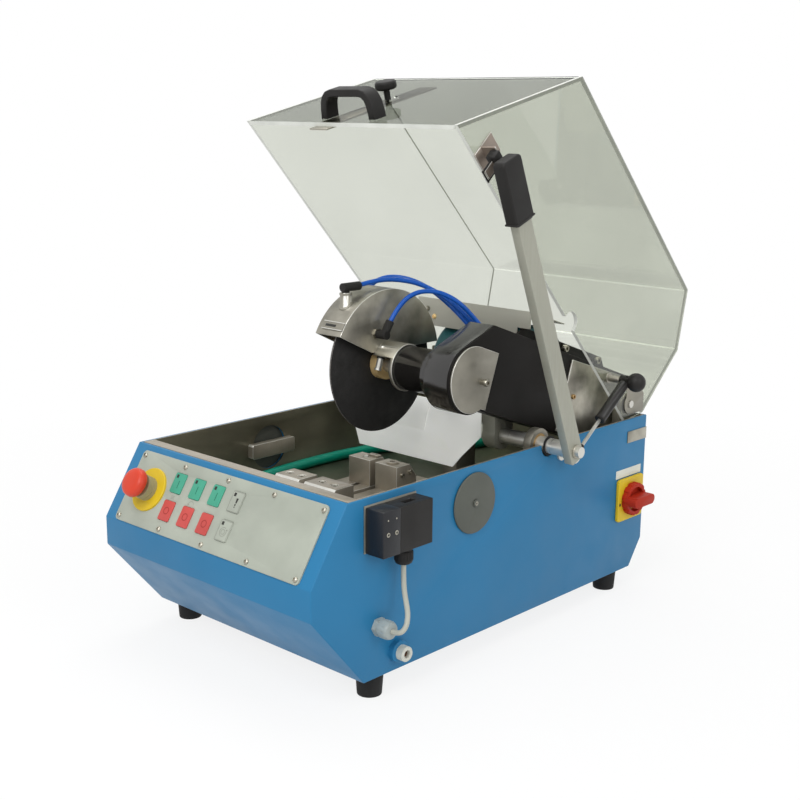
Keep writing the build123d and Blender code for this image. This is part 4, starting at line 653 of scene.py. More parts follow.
# Each finish: its maker, its base colour or the name of the user's, and the maker's other values
FINISHES = {
    "casing_paint": (enamel, "casing", 0.42),
    "panel_grey": (moulded, "panel", 0.5, 0.05),
    "green_plastic": (moulded, "green", 0.45, 0.04),
    "red_plastic": (moulded, "red", 0.45, 0.04),
    "white_plastic": (moulded, "panel", 0.45, 0.04),
    "label_white": (moulded, (0.66, 0.66, 0.58), 0.5, 0.04),
    # Print on the keys, and also dark marks painted for the shade in holes, slots and grooves
    "ink": (moulded, (0.025, 0.025, 0.022), 0.5, 0.02),
    "pale_ink": (moulded, (0.26, 0.27, 0.23), 0.5, 0.02),
    "green_ink": (moulded, (0.01, 0.13, 0.08), 0.5, 0.02),
    "red_ink": (moulded, (0.30, 0.03, 0.025), 0.5, 0.02),
    "rust": (moulded, (0.10, 0.038, 0.015), 0.7, 0.3),
    "estop_yellow": (moulded, "yellow", 0.42),
    "switch_yellow": (moulded, "yellow", 0.42),
    "estop_red": (moulded, "stop_red", 0.36, 0.05),
    "dial_red": (moulded, "dial_red", 0.45, 0.05, 0.15),
    "collar": (moulded, "collar", 0.45),
    "black_plastic": (moulded, "black_plastic", 0.5, 0.12, 0.22),
    "switch_head": (moulded, (0.011, 0.012, 0.015), 0.4, 0.1, 0.35),
    "gland_grey": (moulded, "gland", 0.36),
    "cable_grey": (moulded, "cable", 0.5),
    "cover_grey": (moulded, "grey_cover", 0.5),
    "splash_grey": (enamel, (0.42, 0.41, 0.35), 0.42),
    "foot_rubber": (moulded, "rubber", 0.72, 0.2),
    "belt_rubber": (moulded, "rubber", 0.7, 0.2),
    "stainless": (metal, "stainless", 0.36),
    "cover_steel": (metal, "stainless", 0.42, (1, 1, 6), (0.55, 0.88), 16.0, 0.85),
    "stained_steel": (metal, "stainless", 0.4, (1, 2, 3), CLOUDY, 26.0, 0.9),
    "guard_steel": (metal, "stainless", 0.4, (1, 1, 3), CLOUDY, 20.0, 0.9),
    "tub_steel": (metal, "tub", 0.46, (1, 1, 6), (0.6, 1.1), 7.0, 0.7),
    # Darker and greener than the tub: painted shade under the hood and wheel, with a painted reflection of
    # the green hose
    "tub_floor": (metal, (0.105, 0.115, 0.078), 0.38, EVEN, (0.6, 1.15), 8.0, 0.8),
    "rim_steel": (metal, "table", 0.45, ACROSS, (0.85, 1.1), 12.0, 0.6),
    # Pale base and a glow: a painted reflection of the overhead light on the deflector
    "deflector_steel": (metal, (0.86, 0.87, 0.84), 0.4, (1, 1, 8), (0.72, 1.0), 12.0, 0.3, 0.34),
    "ground_steel": (metal, "bright", 0.36, ACROSS, (0.85, 1.03), 9.0, 0.75),
    # Lighter steel on rounded and cut edges: a painted highlight where they catch the light
    "edge_steel": (metal, "bright", 0.34, EVEN, (0.9, 1.03), 60.0, 0.6),
    "bracket_steel": (metal, (0.30, 0.245, 0.20), 0.45, EVEN, (0.85, 1.08), 14.0, 0.5),
    "screw_steel": (metal, "stainless", 0.33, EVEN, (0.8, 1.1), 60.0),
    "table_steel": (metal, "table", 0.42, ALONG, (0.75, 1.1), 20.0, 0.6),
    "aluminium": (metal, "aluminium", 0.5, ALONG, (0.94, 1.04), 9.0, 0.45),
    "bronze": (metal, (0.45, 0.30, 0.14), 0.35, EVEN, (0.8, 1.05), 60.0),
    "brass": (metal, "brass", 0.34, EVEN, (0.85, 1.05), 60.0, 0.4),
    "arm_black": (enamel, "arm", 0.45, 0.1, 0.09),
    "spindle_black": (enamel, "arm", 0.16, 0.02, 0.8),
    "strut_black": (enamel, "arm", 0.26, 0.02, 0.4),
    "motor_teal": (enamel, "motor", 0.42, 0.12, 0.3),
    "abrasive": (bonded, "abrasive", 0.5, 2.0),
    "abrasive_rim": (bonded, "abrasive", 2.0, 28.0),
    "hose_blue": (moulded, "hose_blue", 0.28, 0.03),
    "hose_green": (moulded, "hose_green", 0.36, 0.06),
    "clear_acrylic": (clear, "acrylic"),
    # The darker front panel: a painted reflection of the room
    "acrylic_top": (clear, "acrylic_top", 1.06),
    # The edges glow: painted light along the sawn edges
    "acrylic_edge": (frosted, "acrylic_edge", 0.27),
    # Glowing rods in the hood's folds: painted highlights
    "fold_light": (frosted, (0.9, 0.92, 0.88), 0.9),
}


def finish(name):
    """The named material, made once."""
    made = bpy.data.materials.get("fin_" + name)
    if made:
        return made
    maker, base, *values = FINISHES[name]
    if isinstance(base, str):
        base = getattr(bpy.context.scene.cutter_colours, base)
    return maker("fin_" + name, base, *values)


def cord_piece(name, node, look, radius, route):
    """A cord along the CAD route: one open spline with the route's points as its control points."""
    curve = bpy.data.curves.new(name, "CURVE")
    curve.dimensions = "3D"
    spline = curve.splines.new("NURBS")
    spline.points.add(len(route) - 1)
    for point, (x, y, z) in zip(spline.points, route):
        point.co = (x * MM, y * MM, z * MM, 1.0)
    spline.order_u = 3
    spline.use_endpoint_u = True
    spline.resolution_u = 12
    curve.bevel_depth = radius * MM
    curve.bevel_resolution = 5
    curve.use_fill_caps = True
    curve.materials.append(finish(look))
    piece = linked(name, curve)
    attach(piece, body_of(node))
    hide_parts(node)
    return piece


class CUTTER_OT_cords(bpy.types.Operator):
    """Lays the switch cable, the coolant hoses and the flush hose along the CAD routes"""

    bl_idname = "cutter.cords"
    bl_label = "Cords"

    def execute(self, context):
        floor_z = 165.3
        flush_spots = (
            (-150, -245), (-150, -205), (-159, -135), (-169, -45), (-169, 40), (-158, 105), (-134, 155),
            (-96, 186), (-75, 214), (-68, 237), (-68, 261),
        )
        runs = [
            ("switch_cable_run", "switch_cable", "cable_grey", 3.0, [
                (200, -217, 161), (200, -217, 146), (203, -219, 130), (211, -223.5, 118),
                (219, -229.5, 108.5), (223, -236.5, 97.5), (219, -243, 90), (208, -243, 90),
            ]),
            ("coolant_hose_top", "coolant_hoses", "hose_blue", 3.0, [
                (-7, -84, 438.48), (-6, -56, 442.48), (3, -26, 442.98), (23, 2, 436.48), (55, 17, 419.48),
                (80.97, 32.16, 393.39), (91.99, 39.87, 375.98),
            ]),
            ("coolant_hose_right", "coolant_hoses", "hose_blue", 3.0, [
                (27, -61.4, 391.29), (28, -47.4, 411.29), (36, -26.4, 429.29), (54, -4.4, 431.29),
                (76, 12.6, 419.29), (91.47, 32.16, 393.39), (102.49, 39.87, 375.98),
            ]),
            ("coolant_hose_left", "coolant_hoses", "hose_blue", 3.0, [
                (-43, -61.4, 391.29), (-43, -49.4, 408.29), (-41, -31.4, 428.29), (-34, -8.4, 441.29),
                (-10, 11.6, 440.29), (27, 20.6, 427.29), (70.47, 32.16, 393.39), (81.49, 39.87, 375.98),
            ]),
            ("flush_hose_run", "flush_hose", "hose_green", 7.0, [(x, y, floor_z) for x, y in flush_spots]),
        ]
        for name, node, look, radius, route in runs:
            piece = cord_piece(name, node, look, radius, route)
            tuple(part * MM for part in route[0])
        return {"FINISHED"}


def tub_parts(centre, normal):
    """The upward faces of the flange round the tub's mouth get a lighter steel, and the floor a darker,
    greener one: painted shade with a painted reflection of the green hose.
    """
    flange_depth = 4.0
    if normal.z < TURNED:
        return None
    return "rim_steel" if centre.z > BASE_TOP - flange_depth else "tub_floor"


class CUTTER_OT_casing(bpy.types.Operator):
    """Softens the base casing and finishes the tub, the feet and the deflector"""

    bl_idname = "cutter.casing"
    bl_label = "Casing and tub"

    def execute(self, context):
        softened({
            "base_shell": ("casing_paint", context.scene.cutter_sizes.casing_bend / MM, 3),
            "rubber_feet": ("foot_rubber", 1.0), "tub_liner": ("tub_steel", 0.5, 2, tub_parts),
            "deflector": ("deflector_steel", 0.3),
        })
        plate = Shape()
        plate_y = 268.5
        plate_z = 218.5
        plate.block(wall_at(plate_y, plate_z, 0.5), (46, 16, 1.2), "stained_steel", edge=0.3)
        plate.done("bare_wall_plate", "machine_base")
        grommet = Shape()
        lip = [(10.6, 0), (12.6, 0), (12.6, 1.4), (12, 2), (10.6, 2)]
        grommet.turned(wall_at(PIVOT_Y, PIVOT_Z), lip, "foot_rubber")
        grommet.done("shaft_grommet", "machine_base")
        return {"FINISHED"}


def panel_signs():
    """Small grey signs under two of the start keys: three lines, and a bent arrow."""
    signs = Shape()
    sign_drop = -53.0
    line_size = (6, 0.7, 0.2)
    for rise in (-1.7, 0, 1.7):
        signs.block(panel_at(KEY_X[0], sign_drop + rise, PANEL_SHEET), line_size, "pale_ink")
    bent = arc_outline(radius=5.0, width=0.7, start=20, end=165)
    signs.plate(panel_at(KEY_X[1], sign_drop - 2, PANEL_SHEET), bent, depth=0.1, look="pale_ink")
    tip = panel_at(KEY_X[1] - 4.6, sign_drop - 1.5, PANEL_SHEET)
    signs.plate(tip, [(-1.6, 0.6), (0, -2), (1.6, 0.6)], depth=0.1, look="pale_ink")
    signs.done("panel_signs", "machine_base")


def control_keys():
    """The keys with their signs."""
    rows = (
        ("green_key_left", "green_key_middle", "green_key_right", "white_key_upper"),
        ("red_key_left", "red_key_middle", "red_key_right", "white_key_lower"),
    )
    for row, drop in zip(rows, KEY_DROP):
        for node, x in zip(row, KEY_X):
            hue = node.split("_")[0]
            key = Shape(node, hue + "_plastic", width=0.3)
            if hue == "red":
                key.ring(panel_at(x, drop, KEY_TOP - 0.1), inner=3.6, outer=4.6, height=0.2, look="red_ink")
            else:
                key.block(panel_at(x - 5.4, drop + 8.2, KEY_TOP), (3.8, 4.2, 0.2), "ink")
            if hue == "green":
                key.block(panel_at(x + 0.8, drop - 1.4, KEY_TOP), (1.0, 9.5, 0.2), "green_ink")
            if hue == "white":
                key_border(key, x, drop)
            if node == "white_key_upper":
                spray_sign(key, x, drop)
            if node == "white_key_lower":
                arrow_sign(key, x, drop)
            key.done()


def key_border(key, x, drop):
    """A thin line round a white key."""
    for side in (-1, 1):
        key.block(panel_at(x + 9.2 * side, drop, KEY_TOP), (0.6, 24, 0.16), "pale_ink")
        key.block(panel_at(x, drop + 11.7 * side, KEY_TOP), (19, 0.6, 0.16), "pale_ink")


def spray_sign(key, x, drop):
    """A nozzle with two drops."""
    nozzle = [(-1.7, 4.5), (1.7, 4.5), (1.0, -1.5), (-1.0, -1.5)]
    key.plate(panel_at(x + 1.2, drop, KEY_TOP), nozzle, depth=0.1, look="ink")
    for fall, radius in ((3.6, 1.1), (6.2, 0.8)):
        key.rod(panel_at(x + 0.8, drop - fall, KEY_TOP), radius, height=0.1, look="ink", segments=16)


def arrow_sign(key, x, drop):
    """A ring in a circular arrow."""
    low = drop - 1.5
    bent = arc_outline(radius=5.6, width=0.7, start=60, end=380)
    tip = [(-1.6, 0), (1.6, 0), (0, 2.4)]
    middle = panel_at(x, low, KEY_TOP - 0.1)
    key.plate(panel_at(x, low, KEY_TOP), bent, depth=0.1, look="pale_ink")
    key.ring(middle, inner=2.6, outer=3.3, height=0.2, look="pale_ink", segments=24)
    key.plate(panel_at(x + 5.2, drop + 0.8, KEY_TOP), tip, depth=0.1, look="pale_ink")


def emergency_stop():
    """Yellow disc and beige collar on the panel, and the red mushroom head that is pressed."""
    foot = panel_at(ESTOP_X, ESTOP_DROP, PANEL_SHEET)
    base = Shape("estop_base")
    disc = [(9.2, 0), (27.5, 0), (27.5, 2.2), (26.7, 3), (9.2, 3)]
    collar = [(9.2, 3), (15, 3), (15, 8), (14.4, 8.4), (15, 8.8), (15, 15.4), (14.4, 16), (9.2, 16)]
    base.turned(foot, disc, "estop_yellow", segments=72)
    base.turned(foot, collar, "collar", segments=56)
    base.done()
    head = Shape("estop_head")
    mushroom = [
        (0, 8.3), (9, 8.3), (9, 21.5), (15.6, 21.5), (17.2, 22.1), (18, 23.6), (18, 27), (17.4, 29.6),
        (15.8, 31.7), (13.4, 33), (10, 33.7), (5, 34), (0, 34),
    ]
    head.turned(foot, mushroom, "estop_red", segments=72)
    head.done()


class CUTTER_OT_control_panel(bpy.types.Operator):
    """Builds the control panel, its keys and the emergency stop"""

    bl_idname = "cutter.control_panel"
    bl_label = "Control panel"

    def execute(self, context):
        Shape("control_panel", "panel_grey", width=0.4).done()
        screw_x = (-160.0, -80.0, 0.0, 80.0, 160.0)
        screw_drop = (-14.0, -94.0)
        spots = [panel_at(x, drop, PANEL_SHEET).translation / MM for x in screw_x for drop in screw_drop]
        radius = context.scene.cutter_sizes.panel_screw
        screws = Shape()
        screws.screws(spots, PANEL_OUT, radius, height=2.4, kind="button_screws")
        screws.done("panel_screws", "machine_base")
        panel_signs()
        control_keys()
        emergency_stop()
        return {"FINISHED"}


def interlock(screw):
    """The switch with the seam of its head, its back plate, its screws and two small rivets."""
    low, high = box_of("safety_switch")
    middle = (low + high) / 2
    size = high - low
    head_y = 27.0
    proud = 0.35
    switch = Shape("safety_switch", "black_plastic", width=0.9)
    switch.block(
        place((middle.x, low.y + head_y / 2 - proud, middle.z)),
        (size.x + 2 * proud, head_y, size.z + 2 * proud), "switch_head", edge=1.1,
    )
    back = place((low.x + 0.75, middle.y - 1, middle.z + 1))
    switch.block(back, (1.5, size.y + 3, size.z + 2.5), "cover_steel", edge=0.3)
    rows = (low.y + 7, low.y + 20)
    screw_spots = [(high.x - 0.6, y, middle.z) for y in rows]
    rivet_spots = [(high.x + proud - 0.1, y, high.z - 10) for y in rows]
    switch.screws(screw_spots, RIGHT, screw, height=1.6)
    switch.screws(rivet_spots, RIGHT, screw * 0.4, height=0.6, kind="button_screws")
    switch.done()


def cable_glands():
    """The ribbed black gland under the switch and the grey one in the wall, which the cable joins."""
    glands = Shape("cable_glands")
    under = place((200, -217, 181), -UP)
    black = [(3.1, 0), (9.4, 0), (9.4, 4), (10.4, 4.5), (10.4, 15.5), (9.6, 18), (7.4, 19.6), (3.1, 20)]
    glands.turned(under, black, "black_plastic")
    glands.bars(shifted(under, 0, 0, 10), count=20, radius=10.3, size=(1.2, 1.4, 9.5), look="black_plastic")
    wall = wall_at(-243, 90)
    grey = [(3.1, 5), (9.4, 5), (9.4, 8), (10.6, 8.6), (10.6, 18.5), (9.4, 21), (6.5, 22), (3.1, 22)]
    glands.ring(wall, inner=3.1, outer=11, height=5, look="gland_grey", segments=6)
    glands.turned(wall, grey, "gland_grey")
    glands.bars(shifted(wall, 0, 0, 13.5), count=8, radius=10.4, size=(1.0, 3.0, 8.5), look="gland_grey")
    glands.done()


def port_covers():
    """The port discs with the small screws in their middles, and the clamp bars behind them."""
    Shape("port_covers", "cover_grey", width=1.6, segments=3).done()
    low, high = box_of("port_covers")
    middle = (low + high) / 2
    reach = box_of("port_clamps")[1].x
    clamps = Shape("port_clamps", "table_steel", width=0.4, sort=clamp_parts)
    for side in (-1, 1):
        spot = place((side * reach, middle.y, middle.z), RIGHT * side, BACK)
        clamps.ring(spot, inner=1.2, outer=2.6, height=0.4, look="screw_steel", segments=24)
        # A dark disc in the screw: painted shade for its socket
        clamps.rod(spot, radius=1.2, height=0.1, look="ink", segments=24)
    clamps.done()


def clamp_parts(centre, normal):
    """The nut outside a port disc has the disc's colour."""
    nut_out = 2.9
    return "cover_grey" if abs(centre.x) > WALL_X + nut_out else painted_edge_highlights(centre, normal)


def drain_fitting():
    """The painted drain boss with its white plug, and the hose tails in the tub."""
    drain = Shape("brass_fittings", "brass", width=0.4, left_out=lambda spot: spot.x > 0)
    wall = wall_at(-213, 52)
    plug = [(4.6, 8), (9, 8), (9, 16.8), (8, 18), (5.6, 18), (4.6, 17.2)]
    bore = [(0, 8), (4.6, 8), (4.6, 13), (2.6, 13), (2.6, 11), (0, 11)]
    drain.turned(wall, [(0, 0), (13, 0), (13, 6.6), (11.8, 8), (0, 8)], "casing_paint")
    drain.turned(wall, plug, "label_white")
    drain.turned(wall, bore, "rust", segments=24)
    drain.done()


def main_switch():
    """Yellow plate with a dark disc painted for the shade of its screw hole, red fluted dial, and the bare
    label plate above.
    """
    plate = Shape("main_switch_plate", "switch_yellow", width=1.2, segments=3)
    hole = wall_at(MAIN_SWITCH_Y - 26, MAIN_SWITCH_Z - 5, 5)
    plate.rod(hole, radius=2.2, height=0.1, look="ink", segments=20)
    plate.done()
    dial = Shape("main_switch_dial", "dial_red", width=0.8)
    lock_out = box_of("main_switch_dial")[0].x - WALL_X + 3.5
    dial.block(wall_at(MAIN_SWITCH_Y, MAIN_SWITCH_Z - 11.5, lock_out), (9, 4, 1), "switch_yellow", edge=0.3)
    dial.done()
    label = Shape()
    label_at = wall_at(MAIN_SWITCH_Y - 2, MAIN_SWITCH_Z + 37, 0.3)
    label.block(label_at, (60, 11.5, 0.6), "label_white", edge=0.15)
    label.done("bare_label_plate", "machine_base")


class CUTTER_OT_wall_fittings(bpy.types.Operator):
    """Builds the interlock switch, glands, port discs, drain and main switch"""

    bl_idname = "cutter.wall_fittings"
    bl_label = "Wall fittings"

    def execute(self, context):
        interlock(context.scene.cutter_sizes.small_screw)
        cable_glands()
        port_covers()
        drain_fitting()
        main_switch()
        return {"FINISHED"}


def glossy_nose(centre, normal):
    """The turned nose round the spindle is glossier than the arm's flat sides."""
    nose_reach = 40.0
    at_nose = centre.y < SPINDLE.y + nose_reach
    return "spindle_black" if at_nose and abs(normal.x) < SQUARE else None


def wheel_rim(centre, normal):
    """The cut edge of the wheel shows its grit."""
    return "abrasive_rim" if abs(normal.x) < TURNED else None


def rear_cover(centre, normal):
    """The covers' edges get a painted highlight, and the rear cover is more stained than the front one."""
    bevel = (0.2, 0.95)
    if bevel[0] < normal.x < bevel[1]:
        return "edge_steel"
    return "stained_steel" if centre.y > PIVOT_Y else None


def guard_parts(centre, normal):
    """Brighter nozzle, boss and end ring on the stained guard."""
    bevel = (0.3, 0.95)
    nozzle_reach = 5.0
    boss_reach = 7.6
    boss_rise = 60.0
    end_ring_x = 42.0
    if (centre - NOZZLE).cross(NOZZLE_WAY).length < nozzle_reach:
        return "ground_steel"
    # The bevel between the guard's flat side and its rim gets a painted highlight
    if bevel[0] < normal.x < bevel[1]:
        return "edge_steel"
    boss = (centre - BOSS).xy.length < boss_reach and centre.z > SPINDLE.z + boss_rise
    return "cover_steel" if boss or centre.x > end_ring_x else None


def lever_grip():
    """The lever's black grip with a lip at its lower end."""
    low, high = box_of("lever_grip")
    up = Vector((0, -math.sin(LEVER_LEAN), math.cos(LEVER_LEAN)))
    lip_along = 315.5
    lip = place(Vector(((low.x + high.x) / 2, PIVOT_Y, PIVOT_Z)) + up * lip_along, up)
    grip = Shape("lever_grip", "black_plastic", width=0.8)
    grip.block(lip, (high.x - low.x + 1.4, 35.4, 2.6), "black_plastic", edge=1.1)
    grip.done()


def fasteners(sizes):
    """Cap screws of the covers and the motor plate, pins of the splash cover and the lever's end bolt."""
    cap = sizes.cap_screw
    small = sizes.small_screw
    nose = Vector((COVER_X, -33, 333))
    spacer_length = 5.0
    plate_x = box_of("motor_plate")[1].x
    spacer = Shape()
    spacer.rod(place(nose, RIGHT, BACK), radius=3.4, height=spacer_length, look="screw_steel", segments=28)
    spacer.screws([nose + RIGHT * spacer_length], RIGHT, cap, height=5.0)
    spacer.screws([(COVER_X, 157, 285)], RIGHT, small * 1.3, height=3.0, look="bronze")
    spacer.screws([(plate_x, 192, 340), (plate_x, 265, 314)], RIGHT, cap * 1.1, height=6.0)
    spacer.done("arm_screws", "arm")
    front_y = box_of("splash_cover")[0].y
    pins = Shape()
    pins.screws([(2, front_y, 391), (-52, front_y, 386)], -BACK, small * 1.3, height=5.0)
    pins.screws([(-40, front_y, 376)], -BACK, small * 1.4, height=3.0, look="brass", kind="button_screws")
    pins.done("splash_pins", "arm")
    end = Vector((box_of("lever_bar")[1].x, PIVOT_Y, PIVOT_Z))
    washer = [(4.6, 0), (8.4, 0), (8.4, 1.2), (7.8, 1.7), (4.6, 1.7)]
    bolt = Shape()
    bolt.turned(place(end, RIGHT, BACK), washer, "screw_steel")
    bolt.screws([end], RIGHT, cap * 1.2, height=7.0)
    bolt.done("lever_bolt", "arm")


def guard_fittings():
    """The slotted lip plate, the boss collars, the nozzle's rings and the nut beside the right elbow."""
    fittings = Shape()
    lip = place((-4, -127.6, 393.6), (0, -0.82, 0.572))
    fittings.block(lip, (36, 11, 1.4), "cover_steel", edge=0.4)
    # A dark strip: painted shade for the lip plate's slot
    fittings.block(shifted(lip, -4, 0, 0.5), (18, 3.4, 0.6), "ink", edge=0.2)
    # Two lighter strips beside the slot: painted highlights on its edges
    for side in (1, -1):
        fittings.block(shifted(lip, 0, 5 * side, 0.7), (36, 1.2, 1.2), "edge_steel", edge=0.3)
    boss_way = Vector((0, BOSS.y - SPINDLE.y, BOSS.z - 16 - SPINDLE.z))
    low_collar = [(6, 0), (9.5, 0), (9.2, 1.6), (7.4, 2.6), (6, 2.6)]
    top_collar = [(6.5, 0), (7.8, 0.4), (7.8, 2.6), (6.5, 3)]
    tip_ring = [(2.2, 0), (4.5, 0), (4.6, 2.4), (2.2, 2.4)]
    boss_foot = place(BOSS + Vector((0, 0.3, -16.4)), boss_way)
    fittings.turned(boss_foot, low_collar, "cover_steel")
    fittings.turned(place(BOSS - UP * 3.4), top_collar, "cover_steel")
    groove = place(NOZZLE + NOZZLE_WAY * 15, NOZZLE_WAY)
    # A dark ring: painted shade for the groove round the nozzle
    fittings.ring(groove, inner=3.8, outer=5, height=2.2, look="ink", segments=28)
    tip = place(NOZZLE - NOZZLE_WAY * 0.2, NOZZLE_WAY)
    fittings.turned(tip, tip_ring, "ground_steel", segments=28)
    nut = place((14, -70, 379), RIGHT, BACK)
    fittings.ring(nut, inner=4.5, outer=7, height=3, look="screw_steel", segments=6)
    fittings.done("guard_fittings", "arm")


def fan_grille():
    """Dark bars on the end of the fan cover: painted shade for its air slots."""
    low, high = box_of("fan_cover")
    middle = (low + high) / 2
    end = place((low.x, middle.y, middle.z), -RIGHT, BACK)
    grille = Shape()
    grille.bars(end, count=24, radius=32, size=(24, 3, 0.4), look="ink")
    grille.turned(end, [(0, 0), (12, 0), (12, 0.8), (11, 1.4), (0, 1.4)], "motor_teal")
    grille.done("fan_grille", body_of("fan_cover"))


class CUTTER_OT_arm(bpy.types.Operator):
    """Finishes the swinging arm, its lever, spindle, wheel, guard and motor"""

    bl_idname = "cutter.arm"
    bl_label = "Cutting arm"

    def execute(self, context):
        softened({
            "bearing_blocks": ("cover_steel", 0.8), "arm_bracket": ("aluminium", 0.8),
            "belt_cover": ("arm_black", 0.8), "motor_plate": ("arm_black", 0.8),
            "splash_cover": ("splash_grey", 0.4), "lever_bar": ("aluminium", 0.8),
            "spindle_housing": ("spindle_black", 0.6), "hose_fittings": ("black_plastic", 0.5),
            "fan_cover": ("motor_teal", 1.0), "arm_housing": ("arm_black", 1.2, 2, glossy_nose),
            "cutting_wheel": ("abrasive", 0.2, 2, wheel_rim),
            "wheel_guard": ("guard_steel", 0.6, 2, guard_parts),
            "arm_covers": ("cover_steel", 0.5, 2, rear_cover),
        })
        dressed({
            "shaft_bushes": "bronze", "pivot_shaft": "ground_steel", "spindle_bearings": "ground_steel",
            "spindle_shaft": "ground_steel", "wheel_flanges": "brass", "drive_belt": "belt_rubber",
            "motor_body": "motor_teal", "motor_rotor": "ground_steel",
        })
        lever_grip()
        fasteners(context.scene.cutter_sizes)
        guard_fittings()
        fan_grille()
        return {"FINISHED"}


class CUTTER_OT_table(bpy.types.Operator):
    """Finishes the slotted table and the clamping jaws"""

    bl_idname = "cutter.table"
    bl_label = "Table and jaws"

    def execute(self, context):
        radius = context.scene.cutter_sizes.cap_screw
        Shape("table_plates", "table_steel", width=0.6, sort=painted_edge_highlights).done()
        for node in ("front_jaw_left", "front_jaw_right"):
            low, high = box_of(node)
            middle = (low + high) / 2
            spots = [(middle.x + side * 11, middle.y, high.z - 6) for side in (-1, 1)]
            jaw = Shape(node, "table_steel", width=0.7, sort=painted_edge_highlights)
            jaw.screws(spots, UP, radius, height=5.0)
            jaw.done()
        low, high = box_of("rear_jaws")
        side_spots = [(high.x, low.y + 10, high.z - 12), (high.x, low.y + 25, high.z - 10)]
        boss = [(3.4, -0.3), (8.2, -0.3), (8.2, 1.7), (7.5, 2.4), (3.4, 2.4)]
        step = Vector((-15, low.y + 20, high.z))
        rear = Shape("rear_jaws", "table_steel", width=0.7, sort=painted_edge_highlights)
        rear.screws(side_spots, RIGHT, radius * 0.7, height=2.5)
        rear.turned(place((24, low.y + 12.3, high.z)), boss, "table_steel", segments=36)
        rear.block(place(step + UP * 1.2), (17, 8, 3.0), "table_steel", edge=0.5)
        # A dark strip on the step: painted shade for a slot
        rear.block(place(step + UP * 2.65), (10, 1.6, 0.3), "ink", edge=0.1)
        rear.done()
        return {"FINISHED"}


def wrap_edges(centre, normal):
    """Sawn edges of the bent sheet: its two sides and its front end. The front panel gets a darker tint: a
    painted reflection of the room.
    """
    front_end = 4.0
    level = 0.02
    lean = normal.dot(HOOD_UP)
    at_front = (centre - HOOD_FOOT).dot(HOOD_UP) < front_end and lean < -SQUARE
    if abs(normal.x) > SQUARE or at_front:
        return "acrylic_edge"
    return "acrylic_top" if abs(lean) < level else None


def hood_folds():
    """Glowing rods inside the folds of the bent sheet: painted highlights along their length."""
    form = cad_form("hood_wrap")
    depth = 2.5
    line = 0.9
    gap = 0.2
    broad = 0.01
    bend = math.radians(5)
    lines = Shape()
    for edge in form.edges:
        faces = edge.link_faces
        if len(faces) < 2 or min(face.calc_area() for face in faces) < broad:
            continue
        if edge.calc_face_angle_signed() < bend:
            continue
        first, last = sorted((vert.co / MM for vert in edge.verts), key=lambda spot: spot.x)
        inward = -(faces[0].normal + faces[1].normal).normalized()
        at = place(first + inward * depth + RIGHT * gap, RIGHT, BACK)
        lines.rod(at, line, last.x - first.x - 2 * gap, "fold_light", segments=12)
    form.free()
    lines.done("hood_folds", body_of("hood_wrap"))


def hood_handle():
    """The bow handle with its rounded shoulders and broad feet."""
    low_s = 26.0
    middle_x = -9.0
    depth = 21.0
    at = place(HOOD_FOOT + RIGHT * middle_x + HOOD_UP * (low_s + depth / 2), -HOOD_UP)
    outer = ((46, 0), (45, 10), (43, 20), (39, 28), (33, 33.5), (25, 36))
    inner = ((22, 27), (27, 26), (31, 22.5), (33, 17), (34.5, 9), (35, 0))
    far_side = [(-x, y) for x, y in outer[::-1] + inner[::-1]]
    bow = Shape("hood_handle")
    bow.plate(at, [*outer, *far_side, *inner], depth, "black_plastic", edge=1.6)
    bow.done()


def switch_key():
    """The black foot and the wire loop round the key that goes into the interlock switch."""
    turn = Matrix.Rotation(-HOOD_OPEN, 3, "X")
    spot = HINGE + turn @ (KEY_FOOT - HINGE)
    along = turn @ BACK
    down = turn @ -UP
    wire = 1.1
    half = 7.2
    reach = 25.0
    loop = Shape()
    loop.block(place(spot, down), (13, 23, 12.5), "black_plastic", edge=1.2)
    for side in (-1, 1):
        loop.rod(place(spot + along * side * half, down), wire, reach, "black_plastic", segments=12)
    end = spot + down * reach - along * (half + wire)
    loop.rod(place(end, along), wire, 2 * (half + wire), "black_plastic", segments=12)
    loop.done("switch_key_loop", body_of("hood_fittings"))


def thin_edges(centre, normal):
    """Steel hinge leaves, and a painted highlight on the cut edges of the brown actuator bracket."""
    bevel = (0.1, 0.97)
    if centre.y > PIVOT_Y:
        return "cover_steel"
    return "edge_steel" if bevel[0] < abs(normal.x) < bevel[1] else None


def side_edges(centre, normal):
    """Sawn edges of the two side sheets."""
    return "acrylic_edge" if abs(normal.x) < TURNED else None


def latch_knob(centre, normal):
    """The knob that stands on the latch strip."""
    strip_top = 4.0
    return "black_plastic" if (centre - HOOD_FOOT).dot(HOOD_OUT) > strip_top else None


def strut_knob(centre, normal):
    """The ball knob beside the strut's head."""
    knob_out = 7.6
    return "black_plastic" if centre.x > STRUT_FOOT.x + knob_out else None


